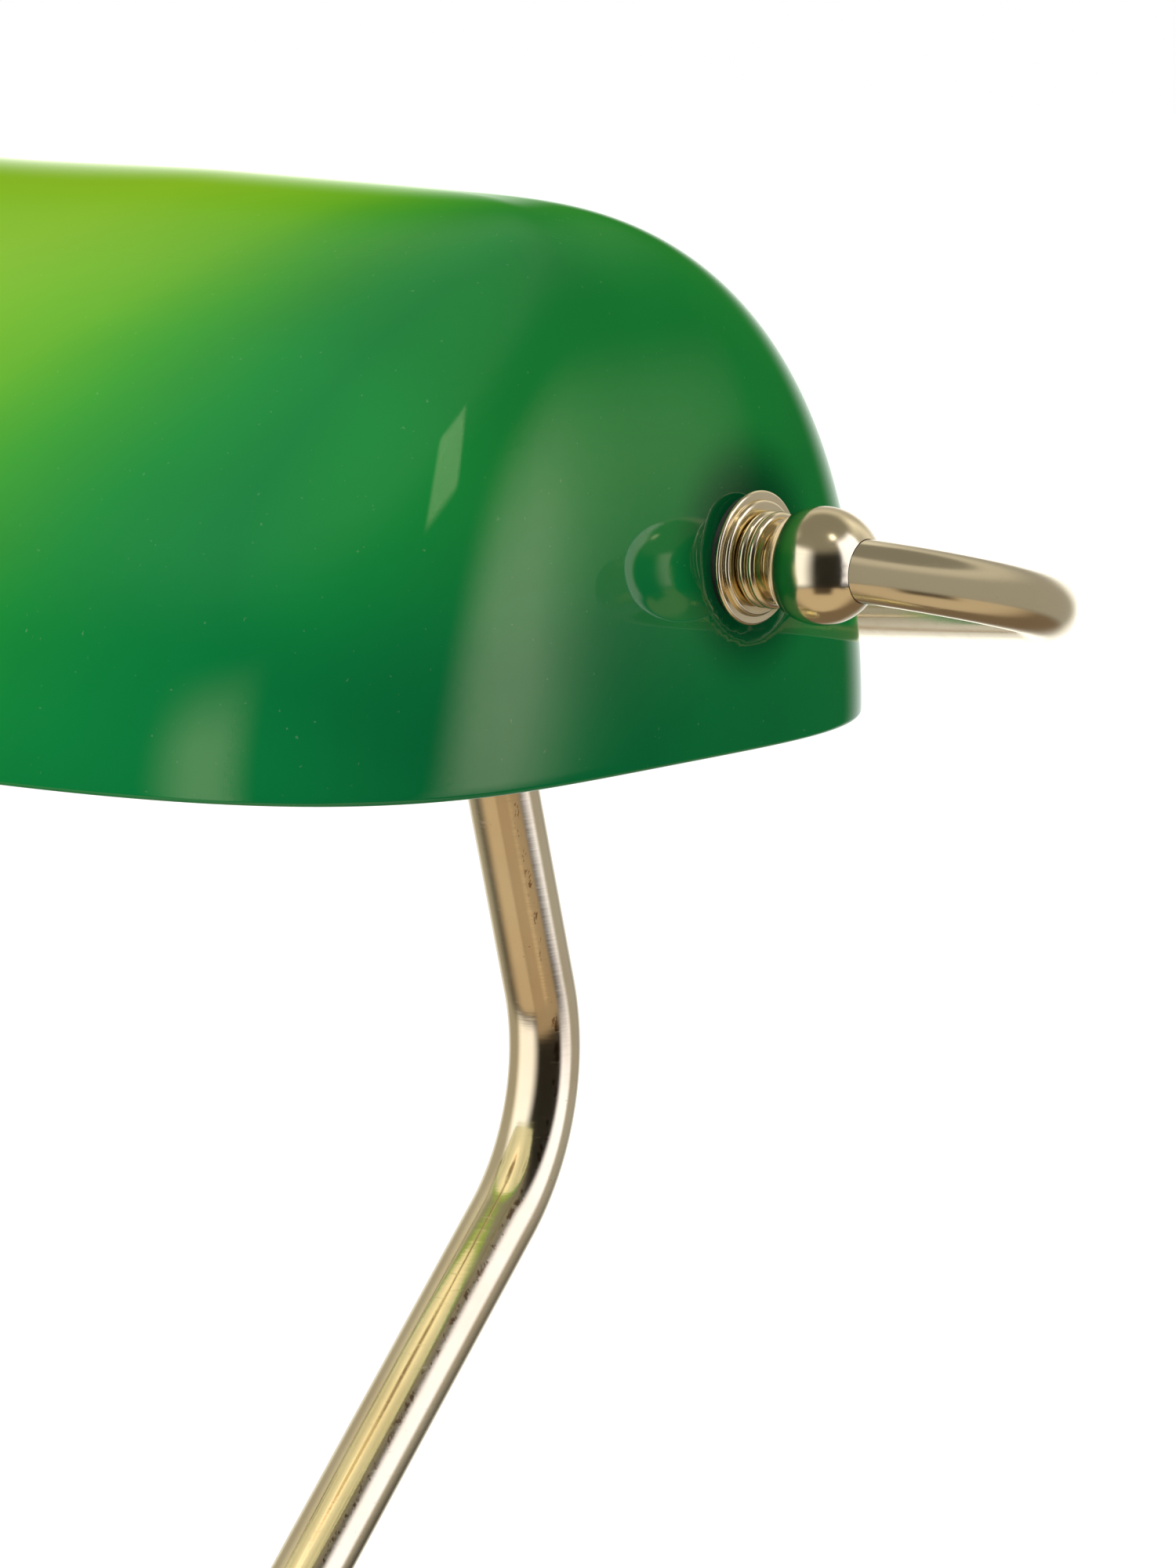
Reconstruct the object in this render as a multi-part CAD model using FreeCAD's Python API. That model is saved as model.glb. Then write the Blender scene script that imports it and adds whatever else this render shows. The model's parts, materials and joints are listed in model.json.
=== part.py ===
"""Banker desk lamp: glass shade tilting on a bent tube yoke, bent stem, round weighted base.

Row frame, in millimetres: origin at the centre of the base's underside, +Z up, X along the shade,
-Y towards the front of the desk. The shade's two pivots lie on one line parallel to X, at Y = 0.
"""
import FreeCAD, Part
import math
import os

from FreeCAD import Vector

os.makedirs("parts", exist_ok=True)

X_AXIS = Vector(1, 0, 0)
Z_AXIS = Vector(0, 0, 1)
ORIGIN = Vector(0, 0, 0)

# ---------------------------------------------------------------- driving dimensions
# shade pivot line
pivot_height = 313.0

# glass shade, seen from above a superellipse whose sides square up towards the ridge
shade_half_length = 111.7
shade_half_depth = 68.5
shade_height = 64.4
shade_wall = 3.8
shade_end_length = 46.2      # end of the ridge to the end of the rim
section_exponent = 1.77      # cross-section from rim to ridge
rim_exponent = 4.0           # plan outline at the rim
ridge_exponent = 6.3         # plan outline near the ridge
end_fullness = 0.31          # how long the ends stay full before they dome over
ridge_climb = math.radians(88)  # where the loft closes with a narrow flat
pivot_above_rim = 22.9
pivot_behind_middle = 15.4
shade_rest_tilt = 2.25       # degrees, front edge raised
seat_radius = 8.6            # ground flats on the glass round each pivot hole
seat_depth = 1.8             # outer seat below the widest point of the shade
seat_wall = 3.6              # glass left between the two seats
glass_hole_radius = 4.0

# pivot hardware, the same at both ends
stud_radius = 2.5
stud_past_nut = 1.5
stud_short_of_ball = 1.0     # bottom of the stud's hole to the ball's centre
ball_radius = 7.0
ball_overlap = 1.3           # how far the ball reaches into the end of the collar
collar_length = 2.9
collar_neck_radius = 4.9
collar_rib_radius = 5.75
flange_radius = 8.0
flange_step_radius = 6.9
flange_thickness = 1.3
soft_washer_radius = 7.4
soft_washer_thickness = 0.6
inner_washer_thickness = 1.0
metal_washer_radius = 7.0
metal_washer_thickness = 0.9
stud_nut_flats = 8.0
stud_nut_height = 4.0

# yoke tube, bent in one plane that falls towards the back
yoke_radius = 3.75
yoke_wall = 0.9
yoke_fall = 16.0             # degrees below the horizontal
yoke_hook_straight = 2.4     # centre of the ball to the start of the hook
yoke_hook_bend = 16.0
yoke_back_corner_x = 45.7
yoke_back_bend = 35.0
yoke_behind_shade = 32.84    # back edge of the rim to the axis of the back run, seen from above
yoke_in_ball = 0.5

# stem tube, bent in the plane X = 0
stem_radius = 5.0
stem_wall = 1.0
stem_bend = 32.0
stem_lower_corner_z = 106.2
stem_knee_behind_hub = 22.36
stem_knee_below_hub = 79.46
stem_below_yoke = 6.0        # end of the tube below the yoke's axis
stem_bottom_z = 5.5

# hub that joins stem, yoke and lampholder arm
hub_radius = 9.0
hub_below = 24.0
hub_above = 7.0
hub_dome = 2.5
arm_boss_radius = 6.5
arm_boss_reach = 14.0
arm_boss_below = 14.0
arm_socket_depth = 7.0
wire_hole_radius = 2.5
grub_radius = 2.0
grub_length = 5.0

# lampholder arm
arm_radius = 4.0
arm_wall = 1.0
arm_bend = 16.0

# lampholder and bulb on one axis that rises towards the front
holder_rise = 38.0           # degrees above the horizontal
bulb_before_pivot = 12.0
bulb_above_pivot = 3.0
bulb_radius = 22.5
bulb_wall = 0.8
bulb_seat_to_centre = 64.5   # back end of the lampholder to the bulb's centre
holder_radius = 13.2
holder_wall = 1.6
holder_cap_length = 18.0
holder_neck_radius = 6.5
holder_body_length = 25.0
arm_in_holder = 7.0
insert_radius = 11.3
insert_start = 9.0
insert_top = 19.8
sleeve_wall = 0.5
sleeve_length = 19.0
cap_radius = 6.95            # small screw cap of the bulb
cap_wall = 0.6
cap_length = 16.5
cap_start = 23.5

# base
base_radius = 82.5
base_height = 30.0
cover_wall = 1.2
cover_lift = 1.2             # lower edge of the cover above the desk
cover_edge_top = 14.0        # top of the cover's upright edge
crown_radius = 28.0          # foot and top of the raised middle
crown_top_radius = 17.0
crown_height = 4.0
pad_margin = 2.9             # edge of the pad inside the edge of the plate
pad_thickness = 2.0
plate_clearance = 0.4        # plate to cover, radial
plate_thickness = 1.5
weight_margin = 15.3         # edge of the weight inside the cover
weight_step = 11.0
weight_edge_height = 9.0
weight_body_height = 14.0
weight_hub_radius = 14.0
weight_recess_radius = 13.0
weight_recess_top = 12.0
cord_slot_width = 8.0
plate_screw_circle = 50.0
plate_screw_radius = 2.0
plate_screw_head_radius = 4.0
plate_screw_length = 11.0
inlet_bore_radius = 2.9
inlet_body_radius = 4.0
inlet_flange_radius = 4.9
inlet_length = 9.0
inlet_flange_thickness = 1.4

# foot collar, washer and nut on the stem
foot_radius = 12.5
foot_top_radius = 7.4
foot_height = 14.0
foot_screw_radius = 1.25
foot_screw_height = 10.3     # above the base
stem_washer_radius = 10.5
stem_washer_thickness = 1.0
stem_nut_flats = 15.0
stem_nut_height = 4.0

# clearances
fit = 0.05                   # shaft in hole, radial
running_gap = 0.2            # along the pivot, between shade and frame
thread_gap = 0.1
seat_gap = 0.2               # end of a tube to the bottom of its socket

# ---------------------------------------------------------------- derived places
base_top = base_height
plate_radius = base_radius - cover_wall - plate_clearance
pad_radius = plate_radius - pad_margin
weight_radius = base_radius - cover_wall - weight_margin
weight_step_radius = weight_radius - weight_step
weight_bottom = pad_thickness + plate_thickness
rim_height = pivot_height - pivot_above_rim
fall = math.radians(yoke_fall)
rise = math.radians(holder_rise)
inlet_height = (weight_bottom + cover_edge_top) / 2

seat_outer_x = shade_half_length - seat_depth
seat_inner_x = seat_outer_x - seat_wall
collar_start_x = seat_outer_x + soft_washer_thickness + running_gap + flange_thickness
ball_centre_x = collar_start_x + collar_length + ball_radius - ball_overlap
stud_nut_outer_x = seat_inner_x - inner_washer_thickness - running_gap - metal_washer_thickness

# The yoke's leg is the tangent from the back corner to the hook's arc, and it meets the pivot line
# at the hook's corner. hook_slope is the cotangent of half the angle there.
yoke_reach = (shade_half_depth - pivot_behind_middle + yoke_behind_shade) / math.cos(fall)
hook_centre_x = ball_centre_x + yoke_hook_straight
leg_run = hook_centre_x - yoke_back_corner_x
leg_rise = yoke_reach - 2 * yoke_hook_bend
hook_slope = (leg_run + math.sqrt(leg_run ** 2 + leg_rise * yoke_reach)) / leg_rise
yoke_hook_corner_x = hook_centre_x + yoke_hook_bend * hook_slope

hub_centre = Vector(0, yoke_reach * math.cos(fall), pivot_height - yoke_reach * math.sin(fall))
stem_knee = hub_centre + Vector(0, stem_knee_behind_hub, -stem_knee_below_hub)
stem_lower_corner = Vector(0, 0, stem_lower_corner_z)
hub_up = (hub_centre - stem_knee).normalize()
hub_front = Vector(0, -hub_up.z, hub_up.y)

holder_axis = Vector(0, -math.cos(rise), math.sin(rise))
bulb_centre = Vector(0, -bulb_before_pivot, pivot_height + bulb_above_pivot)
holder_back = bulb_centre - holder_axis * bulb_seat_to_centre


# ---------------------------------------------------------------- shape helpers
def placed(shape, origin, direction):
    """The shape moved from the origin and +Z to a point and direction in the row frame."""
    moved = shape.copy()
    turn = FreeCAD.Rotation(Z_AXIS, direction)
    moved.Placement = FreeCAD.Placement(origin, turn).multiply(moved.Placement)
    return moved


def cylinder(radius, start, end):
    """Solid cylinder between two points."""
    along = end - start
    return Part.makeCylinder(radius, along.Length, start, along)


def ring(outer_radius, inner_radius, start, end):
    """Round washer or sleeve between two points."""
    along = (end - start).normalize()
    hole = cylinder(inner_radius, start - along, end + along)
    return cylinder(outer_radius, start, end).cut(hole)


def hex_nut(flats, bore_radius, start, end):
    """Hexagon nut with chamfered corners and a round bore."""
    along = end - start
    corner = flats / math.sqrt(3)
    points = [Vector(corner * math.cos(math.radians(60 * i)), corner * math.sin(math.radians(60 * i)), 0)
              for i in range(7)]
    prism = Part.Face(Part.makePolygon(points)).extrude(Vector(0, 0, along.Length))
    chamfer = 0.12 * flats
    cone_radius = flats / 2 + along.Length - chamfer * 0.4
    cone = Part.makeCone(cone_radius, flats / 2 + 0.1, along.Length - chamfer * 0.4, Vector(0, 0, chamfer * 0.4))
    base = Part.makeCylinder(cone_radius, chamfer * 0.4)
    nut = prism.common(cone.fuse(base))
    nut = nut.cut(Part.makeCylinder(bore_radius, along.Length + 2, Vector(0, 0, -1)))
    return placed(nut, start, along)


def turned(outline):
    """Solid of revolution about Z. The outline lists (radius, height) corners, and ("arc", via, end)."""
    edges = []
    here = Vector(outline[0][0], 0, outline[0][1])
    first = here
    for item in outline[1:] + [outline[0]]:
        if item[0] == "arc":
            via = Vector(item[1][0], 0, item[1][1])
            end = Vector(item[2][0], 0, item[2][1])
            edges.append(Part.Arc(here, via, end).toShape())
        else:
            end = Vector(item[0], 0, item[1])
            if end.distanceToPoint(here) < 1e-6:
                continue
            edges.append(Part.makeLine(here, end))
        here = end
    assert here.distanceToPoint(first) < 1e-6
    return Part.Face(Part.Wire(edges)).revolve(ORIGIN, Z_AXIS, 360)


def rounded_path(corners, bends):
    """Open wire through the corners, with each inner corner rounded to its bend radius."""
    edges = []
    here = corners[0]
    for before, corner, after, bend in zip(corners, corners[1:], corners[2:], bends):
        back = (before - corner).normalize()
        ahead = (after - corner).normalize()
        half_angle = back.getAngle(ahead) / 2
        setback = bend / math.tan(half_angle)
        inward = (back + ahead).normalize()
        centre = corner + inward * (bend / math.sin(half_angle))
        start = corner + back * setback
        end = corner + ahead * setback
        edges.append(Part.makeLine(here, start))
        edges.append(Part.Arc(start, centre - inward * bend, end).toShape())
        here = end
    edges.append(Part.makeLine(here, corners[-1]))
    return Part.Wire(edges)


def swept_rod(path, radius):
    """Solid round rod along a wire of lines and arcs: cylinders joined by parts of tori."""
    pieces = []
    for edge in path.OrderedEdges:
        start = edge.valueAt(edge.FirstParameter)
        end = edge.valueAt(edge.LastParameter)
        along = edge.tangentAt(edge.FirstParameter)
        if isinstance(edge.Curve, Part.Line):
            pieces.append(cylinder(radius, start, end))
            continue
        centre = edge.Curve.Center
        bend_axis = (start - centre).cross(along)
        angle = math.degrees((start - centre).getAngle(end - centre))
        disc = Part.Face(Part.Wire([Part.makeCircle(radius, start, along)]))
        pieces.append(disc.revolve(centre, bend_axis, angle))
    rod = pieces[0]
    for piece in pieces[1:]:
        rod = rod.fuse(piece)
    return rod.removeSplitter()


def tube(path, radius, wall):
    """Round tube along a wire."""
    return swept_rod(path, radius).cut(swept_rod(path, radius - wall))


def half_turned(shape):
    """The same piece at the left end: turned half round about the vertical through the base."""
    turned_piece = shape.copy()
    turned_piece.rotate(ORIGIN, Z_AXIS, 180)
    return turned_piece


def dome(radius, base, rise_height):
    """Outline item: spherical cap from (radius, base) up, or down, to the axis."""
    sphere = (radius ** 2 + rise_height ** 2) / (2 * abs(rise_height))
    sign = math.copysign(1, rise_height)
    centre = base + rise_height - sign * sphere
    half = math.asin(min(radius / sphere, 1.0)) / 2
    via = (sphere * math.sin(half), centre + sign * sphere * math.cos(half))
    return "arc", via, (0, base + rise_height)


# ---------------------------------------------------------------- glass shade
def unit_superellipse(angle, exponent):
    """Point of |c|^e + |s|^e = 1 in the given direction."""
    c = math.cos(angle)
    s = math.sin(angle)
    reach = (abs(c) ** exponent + abs(s) ** exponent) ** (-1 / exponent)
    return reach * c, reach * s


def shade_point(turn, climb, inset):
    """Point of the shade's surface, inset by part of its wall, before it is put on its pivots.

    turn runs round the plan outline from 0 to 2 pi, and climb from the rim (0) to the ridge (pi / 2).
    """
    narrowing, height = unit_superellipse(climb, section_exponent)
    narrowing = max(narrowing, 0.0)
    exponent = rim_exponent + (ridge_exponent - rim_exponent) * height ** 2
    along, across = unit_superellipse(turn, exponent)
    ridge = shade_half_length - shade_end_length - inset
    half_length = ridge + shade_end_length * narrowing ** end_fullness
    half_depth = (shade_half_depth - inset) * narrowing
    return Vector(half_length * along, half_depth * across, (shade_height - inset) * height)


def shade_ring(climb, inset):
    """Closed outline of the shade at one height, as a smooth curve."""
    columns = 48
    points = [shade_point(math.pi / 2 + 2 * math.pi * i / columns, climb, inset) for i in range(columns)]
    curve = Part.BSplineCurve()
    curve.interpolate(Points=points, PeriodicFlag=True, Parameters=[i / columns for i in range(columns + 1)])
    return Part.Wire([curve.toShape()])


def shade_block(inset):
    """Solid inside the shade's surface, from the rim plane to the narrow flat of the ridge."""
    rows = 9
    rings = [shade_ring(ridge_climb * (1 - (1 - j / (rows - 1)) ** 1.5), inset) for j in range(rows)]
    return Part.makeLoft(rings, True, False)


def glass_shade():
    """Hollow glass shade, open below, with a ground flat and a hole round each pivot."""
    glass = shade_block(0).cut(shade_block(shade_wall))
    glass.translate(Vector(0, -pivot_behind_middle, rim_height))
    for side in (1, -1):
        end = Vector(side * (shade_half_length + 5), 0, pivot_height)
        seat = Vector(side * seat_outer_x, 0, pivot_height)
        inner_seat = Vector(side * seat_inner_x, 0, pivot_height)
        inside = Vector(side * (seat_inner_x - 10), 0, pivot_height)
        glass = glass.cut(cylinder(seat_radius, seat, end))
        glass = glass.cut(cylinder(seat_radius, inside, inner_seat))
        glass = glass.cut(cylinder(glass_hole_radius, inside, end))
    glass.rotate(Vector(0, 0, pivot_height), X_AXIS, -shade_rest_tilt)
    return glass


# ---------------------------------------------------------------- pivot hardware
def on_pivot(x):
    """Point of the pivot line."""
    return Vector(x, 0, pivot_height)


def pivot_bush():
    """Soft washer outside the glass, in one piece with the sleeve that lines its hole."""
    washer = ring(soft_washer_radius, stud_radius + fit, on_pivot(seat_outer_x),
                  on_pivot(seat_outer_x + soft_washer_thickness))
    sleeve = ring(glass_hole_radius - thread_gap, stud_radius + fit, on_pivot(seat_inner_x),
                  on_pivot(seat_outer_x))
    return washer.fuse(sleeve).removeSplitter()


def inner_soft_washer():
    """Soft washer between the glass and the metal washer."""
    return ring(soft_washer_radius, stud_radius + fit, on_pivot(seat_inner_x - inner_washer_thickness),
                on_pivot(seat_inner_x))


def stud_washer():
    """Metal washer under the stud's nut."""
    return ring(metal_washer_radius, stud_radius + fit, on_pivot(stud_nut_outer_x),
                on_pivot(stud_nut_outer_x + metal_washer_thickness))


def stud_locknut():
    """Nut on the stud's inner end, which sets how stiffly the shade tilts."""
    return hex_nut(stud_nut_flats, stud_radius + fit, on_pivot(stud_nut_outer_x),
                   on_pivot(stud_nut_outer_x - stud_nut_height))


def stepped_flange():
    """Turned flange with a rounded edge and a raised inner step."""
    half = flange_thickness * 0.55
    outline = [
        (stud_radius + fit, 0),
        (flange_radius - half / 2, 0),
        ("arc", (flange_radius, half / 2), (flange_radius - half / 2, half)),
        (flange_step_radius, half),
        ("arc", (flange_step_radius - 0.1, flange_thickness - 0.15), (flange_step_radius - 0.5, flange_thickness)),
        (stud_radius + fit, flange_thickness),
    ]
    return placed(turned(outline), on_pivot(collar_start_x - flange_thickness), X_AXIS)


def ribbed_collar():
    """Turned neck between flange and ball, with two half-round ribs."""
    rib = 0.55
    outline = [(stud_radius + fit, 0), (collar_neck_radius, 0)]
    for centre in (collar_length * 0.27, collar_length * 0.73):
        outline.append((collar_neck_radius, centre - rib))
        outline.append(("arc", (collar_rib_radius, centre), (collar_neck_radius, centre + rib)))
    outline.append((collar_neck_radius * 0.86, collar_length))
    outline.append((stud_radius + fit, collar_length))
    blank = placed(turned(outline), on_pivot(collar_start_x), X_AXIS)
    return blank.cut(Part.makeSphere(ball_radius + fit, on_pivot(ball_centre_x)))


def ball_knob(side):
    """Solid ball, bored for the stud on the inside and for the yoke's hook on the outside."""
    ball = Part.makeSphere(ball_radius, on_pivot(side * ball_centre_x))
    ball = ball.cut(cylinder(stud_radius + fit, on_pivot(side * (ball_centre_x - ball_radius - 1)),
                             on_pivot(side * (ball_centre_x - stud_short_of_ball))))
    return ball.cut(swept_rod(yoke_path(0), yoke_radius + fit))


def pivot_stud():
    """Threaded stud from the ball through collar, flange and glass to the nut."""
    inner_end = stud_nut_outer_x - stud_nut_height - stud_past_nut
    stud = cylinder(stud_radius, on_pivot(inner_end), on_pivot(ball_centre_x - stud_short_of_ball - seat_gap))
    ends = [edge for edge in stud.Edges if abs(edge.BoundBox.XMax - inner_end) < 0.01]
    return stud.makeChamfer(0.5, ends)


# ---------------------------------------------------------------- yoke, hub and stem
def yoke_point(x, reach):
    """Point of the yoke's plane, at a distance behind the pivot line measured in that plane."""
    return Vector(x, reach * math.cos(fall), pivot_height - reach * math.sin(fall))


def yoke_path(seat_gap):
    """Centre line from ball to ball by way of two tight hooks and the run behind the shade."""
    right = [
        yoke_point(ball_centre_x + yoke_in_ball + seat_gap, 0),
        yoke_point(yoke_hook_corner_x, 0),
        yoke_point(yoke_back_corner_x, yoke_reach),
    ]
    left = [Vector(-point.x, point.y, point.z) for point in reversed(right)]
    bends = [yoke_hook_bend, yoke_back_bend, yoke_back_bend, yoke_hook_bend]
    return rounded_path(right + left, bends)


def yoke_tube():
    """One bent tube, with both ends seated in the balls."""
    return tube(yoke_path(seat_gap), yoke_radius, yoke_wall)


def yoke_bore():
    """Clearance for the yoke's back run through the hub."""
    half = Vector(hub_radius + 5, 0, 0)
    return cylinder(yoke_radius + fit, hub_centre - half, hub_centre + half)


def arm_line(distance):
    """Point on the axis of the arm's boss, measured forward from the stem's axis."""
    return hub_centre - hub_up * arm_boss_below + hub_front * distance


def yoke_hub():
    """Turned hub: stem socket below, cross bore for the yoke, boss and socket for the arm in front."""
    outline = [
        (0, -hub_below),
        (hub_radius - 1.5, -hub_below),
        (hub_radius, -hub_below + 1.5),
        (hub_radius, hub_above),
        dome(hub_radius, hub_above, hub_dome),
    ]
    body = placed(turned(outline), hub_centre, hub_up)
    body = body.fuse(cylinder(arm_boss_radius, arm_line(0), arm_line(arm_boss_reach)))
    body = body.cut(yoke_bore())
    body = body.cut(cylinder(stem_radius + fit, hub_centre - hub_up * (hub_below + 1),
                             hub_centre - hub_up * (stem_below_yoke - 0.5)))
    body = body.cut(cylinder(arm_radius + fit, arm_line(arm_boss_reach - arm_socket_depth),
                             arm_line(arm_boss_reach + 1)))
    body = body.cut(cylinder(wire_hole_radius, arm_line(0), arm_line(arm_boss_reach)))
    body = body.cut(cylinder(grub_radius + fit, yoke_grub_end(0), yoke_grub_end(grub_length + 5)))
    body = body.cut(cylinder(grub_radius + fit, stem_grub_end(0), stem_grub_end(grub_length + 5)))
    return body.removeSplitter()


def yoke_grub_end(outward):
    """Axis of the screw that holds the yoke: it enters the hub from the back."""
    return hub_centre - hub_front * (yoke_radius + thread_gap + outward)


def stem_grub_end(outward):
    """Axis of the screw that holds the stem, level with the arm's boss."""
    return hub_centre - hub_up * arm_boss_below - hub_front * (stem_radius + thread_gap + outward)


def grub_screw(start, outward):
    """Cup-point grub screw with a hexagon socket."""
    end = start + outward * grub_length
    screw = cylinder(grub_radius, start, end)
    key = hex_nut(2.0, 0.1, end - outward * 2, end + outward)
    solid_key = key.fuse(cylinder(0.3, end - outward * 2, end + outward))
    return screw.cut(solid_key)


def stem_tube():
    """Stem: upright from the base, slanting back to the knee, then forward to the hub."""
    corners = [
        Vector(0, 0, stem_bottom_z),
        stem_lower_corner,
        stem_knee,
        hub_centre - hub_up * stem_below_yoke,
    ]
    stem = tube(rounded_path(corners, [stem_bend, stem_bend]), stem_radius, stem_wall)
    return stem.cut(cylinder(wire_hole_radius, arm_line(0), arm_line(arm_boss_reach)))


def arm_corner():
    """Where the boss's axis and the lampholder's axis meet."""
    start = arm_line(0)
    offset = holder_back - start
    across = hub_front.y * holder_axis.z - hub_front.z * holder_axis.y
    reach = (offset.y * holder_axis.z - offset.z * holder_axis.y) / across
    return arm_line(reach)


def lampholder_arm():
    """Bent tube from the hub, under the back rim of the glass, up to the lampholder."""
    corners = [
        arm_line(arm_boss_reach - arm_socket_depth + seat_gap),
        arm_corner(),
        holder_back + holder_axis * arm_in_holder,
    ]
    return tube(rounded_path(corners, [arm_bend]), arm_radius, arm_wall)


# ---------------------------------------------------------------- lampholder and bulb
def on_holder(shape):
    """A piece drawn along +Z from the lampholder's back end, put in its place."""
    return placed(shape, holder_back, holder_axis)


def holder_point(height, radius=0.0):
    """Point of the lampholder's axis before it is put in place."""
    return Vector(radius, 0, height)


def arm_locknut():
    """Nut that locks the lampholder's cap on the arm."""
    return on_holder(hex_nut(12.0, arm_radius + fit, holder_point(0), holder_point(-3)))


def lampholder_cap():
    """Domed back cap of the lampholder, with a neck for the arm."""
    inner = holder_radius - holder_wall
    outline = [
        (arm_radius + fit, 0),
        (holder_neck_radius, 0),
        (holder_neck_radius, 2),
        ("arc", (holder_radius - 1.9, 6), (holder_radius, 13)),
        (holder_radius, holder_cap_length),
        (inner, holder_cap_length),
        (inner, 13),
        ("arc", (inner - 1.4, 8.5), (holder_neck_radius, 5.5)),
        (holder_neck_radius, 8),
        (arm_radius + fit, 8),
    ]
    return on_holder(turned(outline))


def lampholder_body():
    """Open sleeve of the lampholder, with a rolled bead round its mouth."""
    inner = holder_radius - holder_wall
    mouth = holder_cap_length + holder_body_length
    outline = [
        (inner, holder_cap_length),
        (holder_radius, holder_cap_length),
        (holder_radius, mouth - 2),
        ("arc", (holder_radius + 0.7, mouth - 1), (holder_radius, mouth)),
        (inner, mouth),
    ]
    return on_holder(turned(outline))


def lampholder_insert():
    """Insulating block that carries the threaded sleeve and the contact."""
    outline = [
        (2.2, insert_start + 3),
        (insert_radius - 3, insert_start + 3),
        (insert_radius - 3, insert_start + 5),
        (insert_radius, insert_start + 5),
        (insert_radius, insert_top - 2),
        (cap_radius + 2, insert_top - 2),
        (cap_radius + 2, insert_top),
        (2.2, insert_top),
    ]
    return on_holder(turned(outline))


def contact_spring():
    """Sprung centre contact: a stem through the insert with a curved leaf on top."""
    outline = [(0, insert_start + 2), (2.1, insert_start + 2), (2.1, insert_top), (3.4, insert_top + 0.1),
               (3.4, insert_top + 0.5), dome(3.4, insert_top + 0.5, 0.9)]
    return on_holder(turned(outline))


def thread_sleeve():
    """Threaded brass sleeve that the bulb screws into."""
    inner = cap_radius + thread_gap
    body = ring(inner + sleeve_wall, inner, holder_point(insert_top), holder_point(insert_top + sleeve_length))
    foot = ring(inner + sleeve_wall + 1, inner, holder_point(insert_top), holder_point(insert_top + 0.5))
    return on_holder(body.fuse(foot).removeSplitter())


def bulb_cap():
    """Screw cap of the bulb, rippled by its thread."""
    end = cap_start + cap_length
    turns = 5
    pitch = (cap_length - 5) / turns
    outline = [(cap_radius - cap_wall - 0.3, cap_start), (cap_radius - 0.3, cap_start)]
    for i in range(turns):
        low = cap_start + 1 + i * pitch
        outline.append((cap_radius - 0.3, low))
        outline.append(("arc", (cap_radius, low + pitch / 2), (cap_radius - 0.3, low + pitch)))
    outline += [(cap_radius - 0.3, end), (cap_radius - 0.3 - cap_wall, end)]
    return on_holder(turned(outline))


def bulb_insulator():
    """Glass bead between the bulb's cap and its end contact."""
    outline = [(0, cap_start - 1.4), (2.4, cap_start - 1.4), (cap_radius - 0.9, cap_start), (0, cap_start)]
    return on_holder(turned(outline))


def bulb_contact():
    """Solder button at the bulb's end."""
    top = cap_start - 1.4
    outline = [(0, top), (2.2, top), dome(2.2, top, -0.75)]
    return on_holder(turned(outline))


def bulb_glass():
    """Round frosted bulb with a short neck, open into its cap."""
    neck = 8.2
    start = cap_start + cap_length + 0.05
    shoulder_angle = math.radians(53)

    def shoulder(radius):
        return radius * math.cos(shoulder_angle), bulb_seat_to_centre - radius * math.sin(shoulder_angle)

    outer = bulb_radius
    inner = bulb_radius - bulb_wall
    outline = [
        (neck - bulb_wall, start),
        (neck, start),
        (neck, start + 1),
        shoulder(outer),
        ("arc", (outer * math.cos(math.radians(20)), bulb_seat_to_centre + outer * math.sin(math.radians(20))),
         (0, bulb_seat_to_centre + outer)),
        (0, bulb_seat_to_centre + inner),
        ("arc", (inner * math.cos(math.radians(20)), bulb_seat_to_centre + inner * math.sin(math.radians(20))),
         shoulder(inner)),
        (neck - bulb_wall, start + 1),
    ]
    return on_holder(turned(outline))


# ---------------------------------------------------------------- base
def cover_block(inset):
    """Solid inside the cover's surface, moved in by part of its wall."""
    edge_top = cover_edge_top - inset
    edge = base_radius - inset
    step = base_radius - 9.5 - inset
    top = base_top - inset
    bottom = cover_lift - inset
    return turned([
        (0, bottom),
        (edge, bottom),
        (edge, edge_top),
        ("arc", (edge - 0.73, edge_top + 1.77), (edge - 2.5, edge_top + 2.5)),
        (step, edge_top + 3.2),
        ("arc", (step - 2.2, edge_top + 4.2), (step - 3.2, edge_top + 6.4)),
        ("arc", (step - 4.2, edge_top + 8.2), (step - 6.2, edge_top + 9.0)),
        (crown_radius, top - crown_height),
        ("arc", (crown_radius - 6.5, top - crown_height + 1), (crown_top_radius - inset, top)),
        (0, top),
    ])


def base_cover():
    """Spun cover: upright edge, rounded step, gentle cone and a raised middle for the stem."""
    cover = cover_block(0).cut(cover_block(cover_wall))
    cover = cover.cut(cylinder(stem_radius + fit, Vector(0, 0, base_top - 5), Vector(0, 0, base_top + 1)))
    return cover.cut(cylinder(inlet_body_radius + fit, on_inlet(base_radius - 5), on_inlet(base_radius + 5)))


def on_inlet(y):
    """Point of the cord inlet's axis, at the back of the base."""
    return Vector(0, y, inlet_height)


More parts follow.
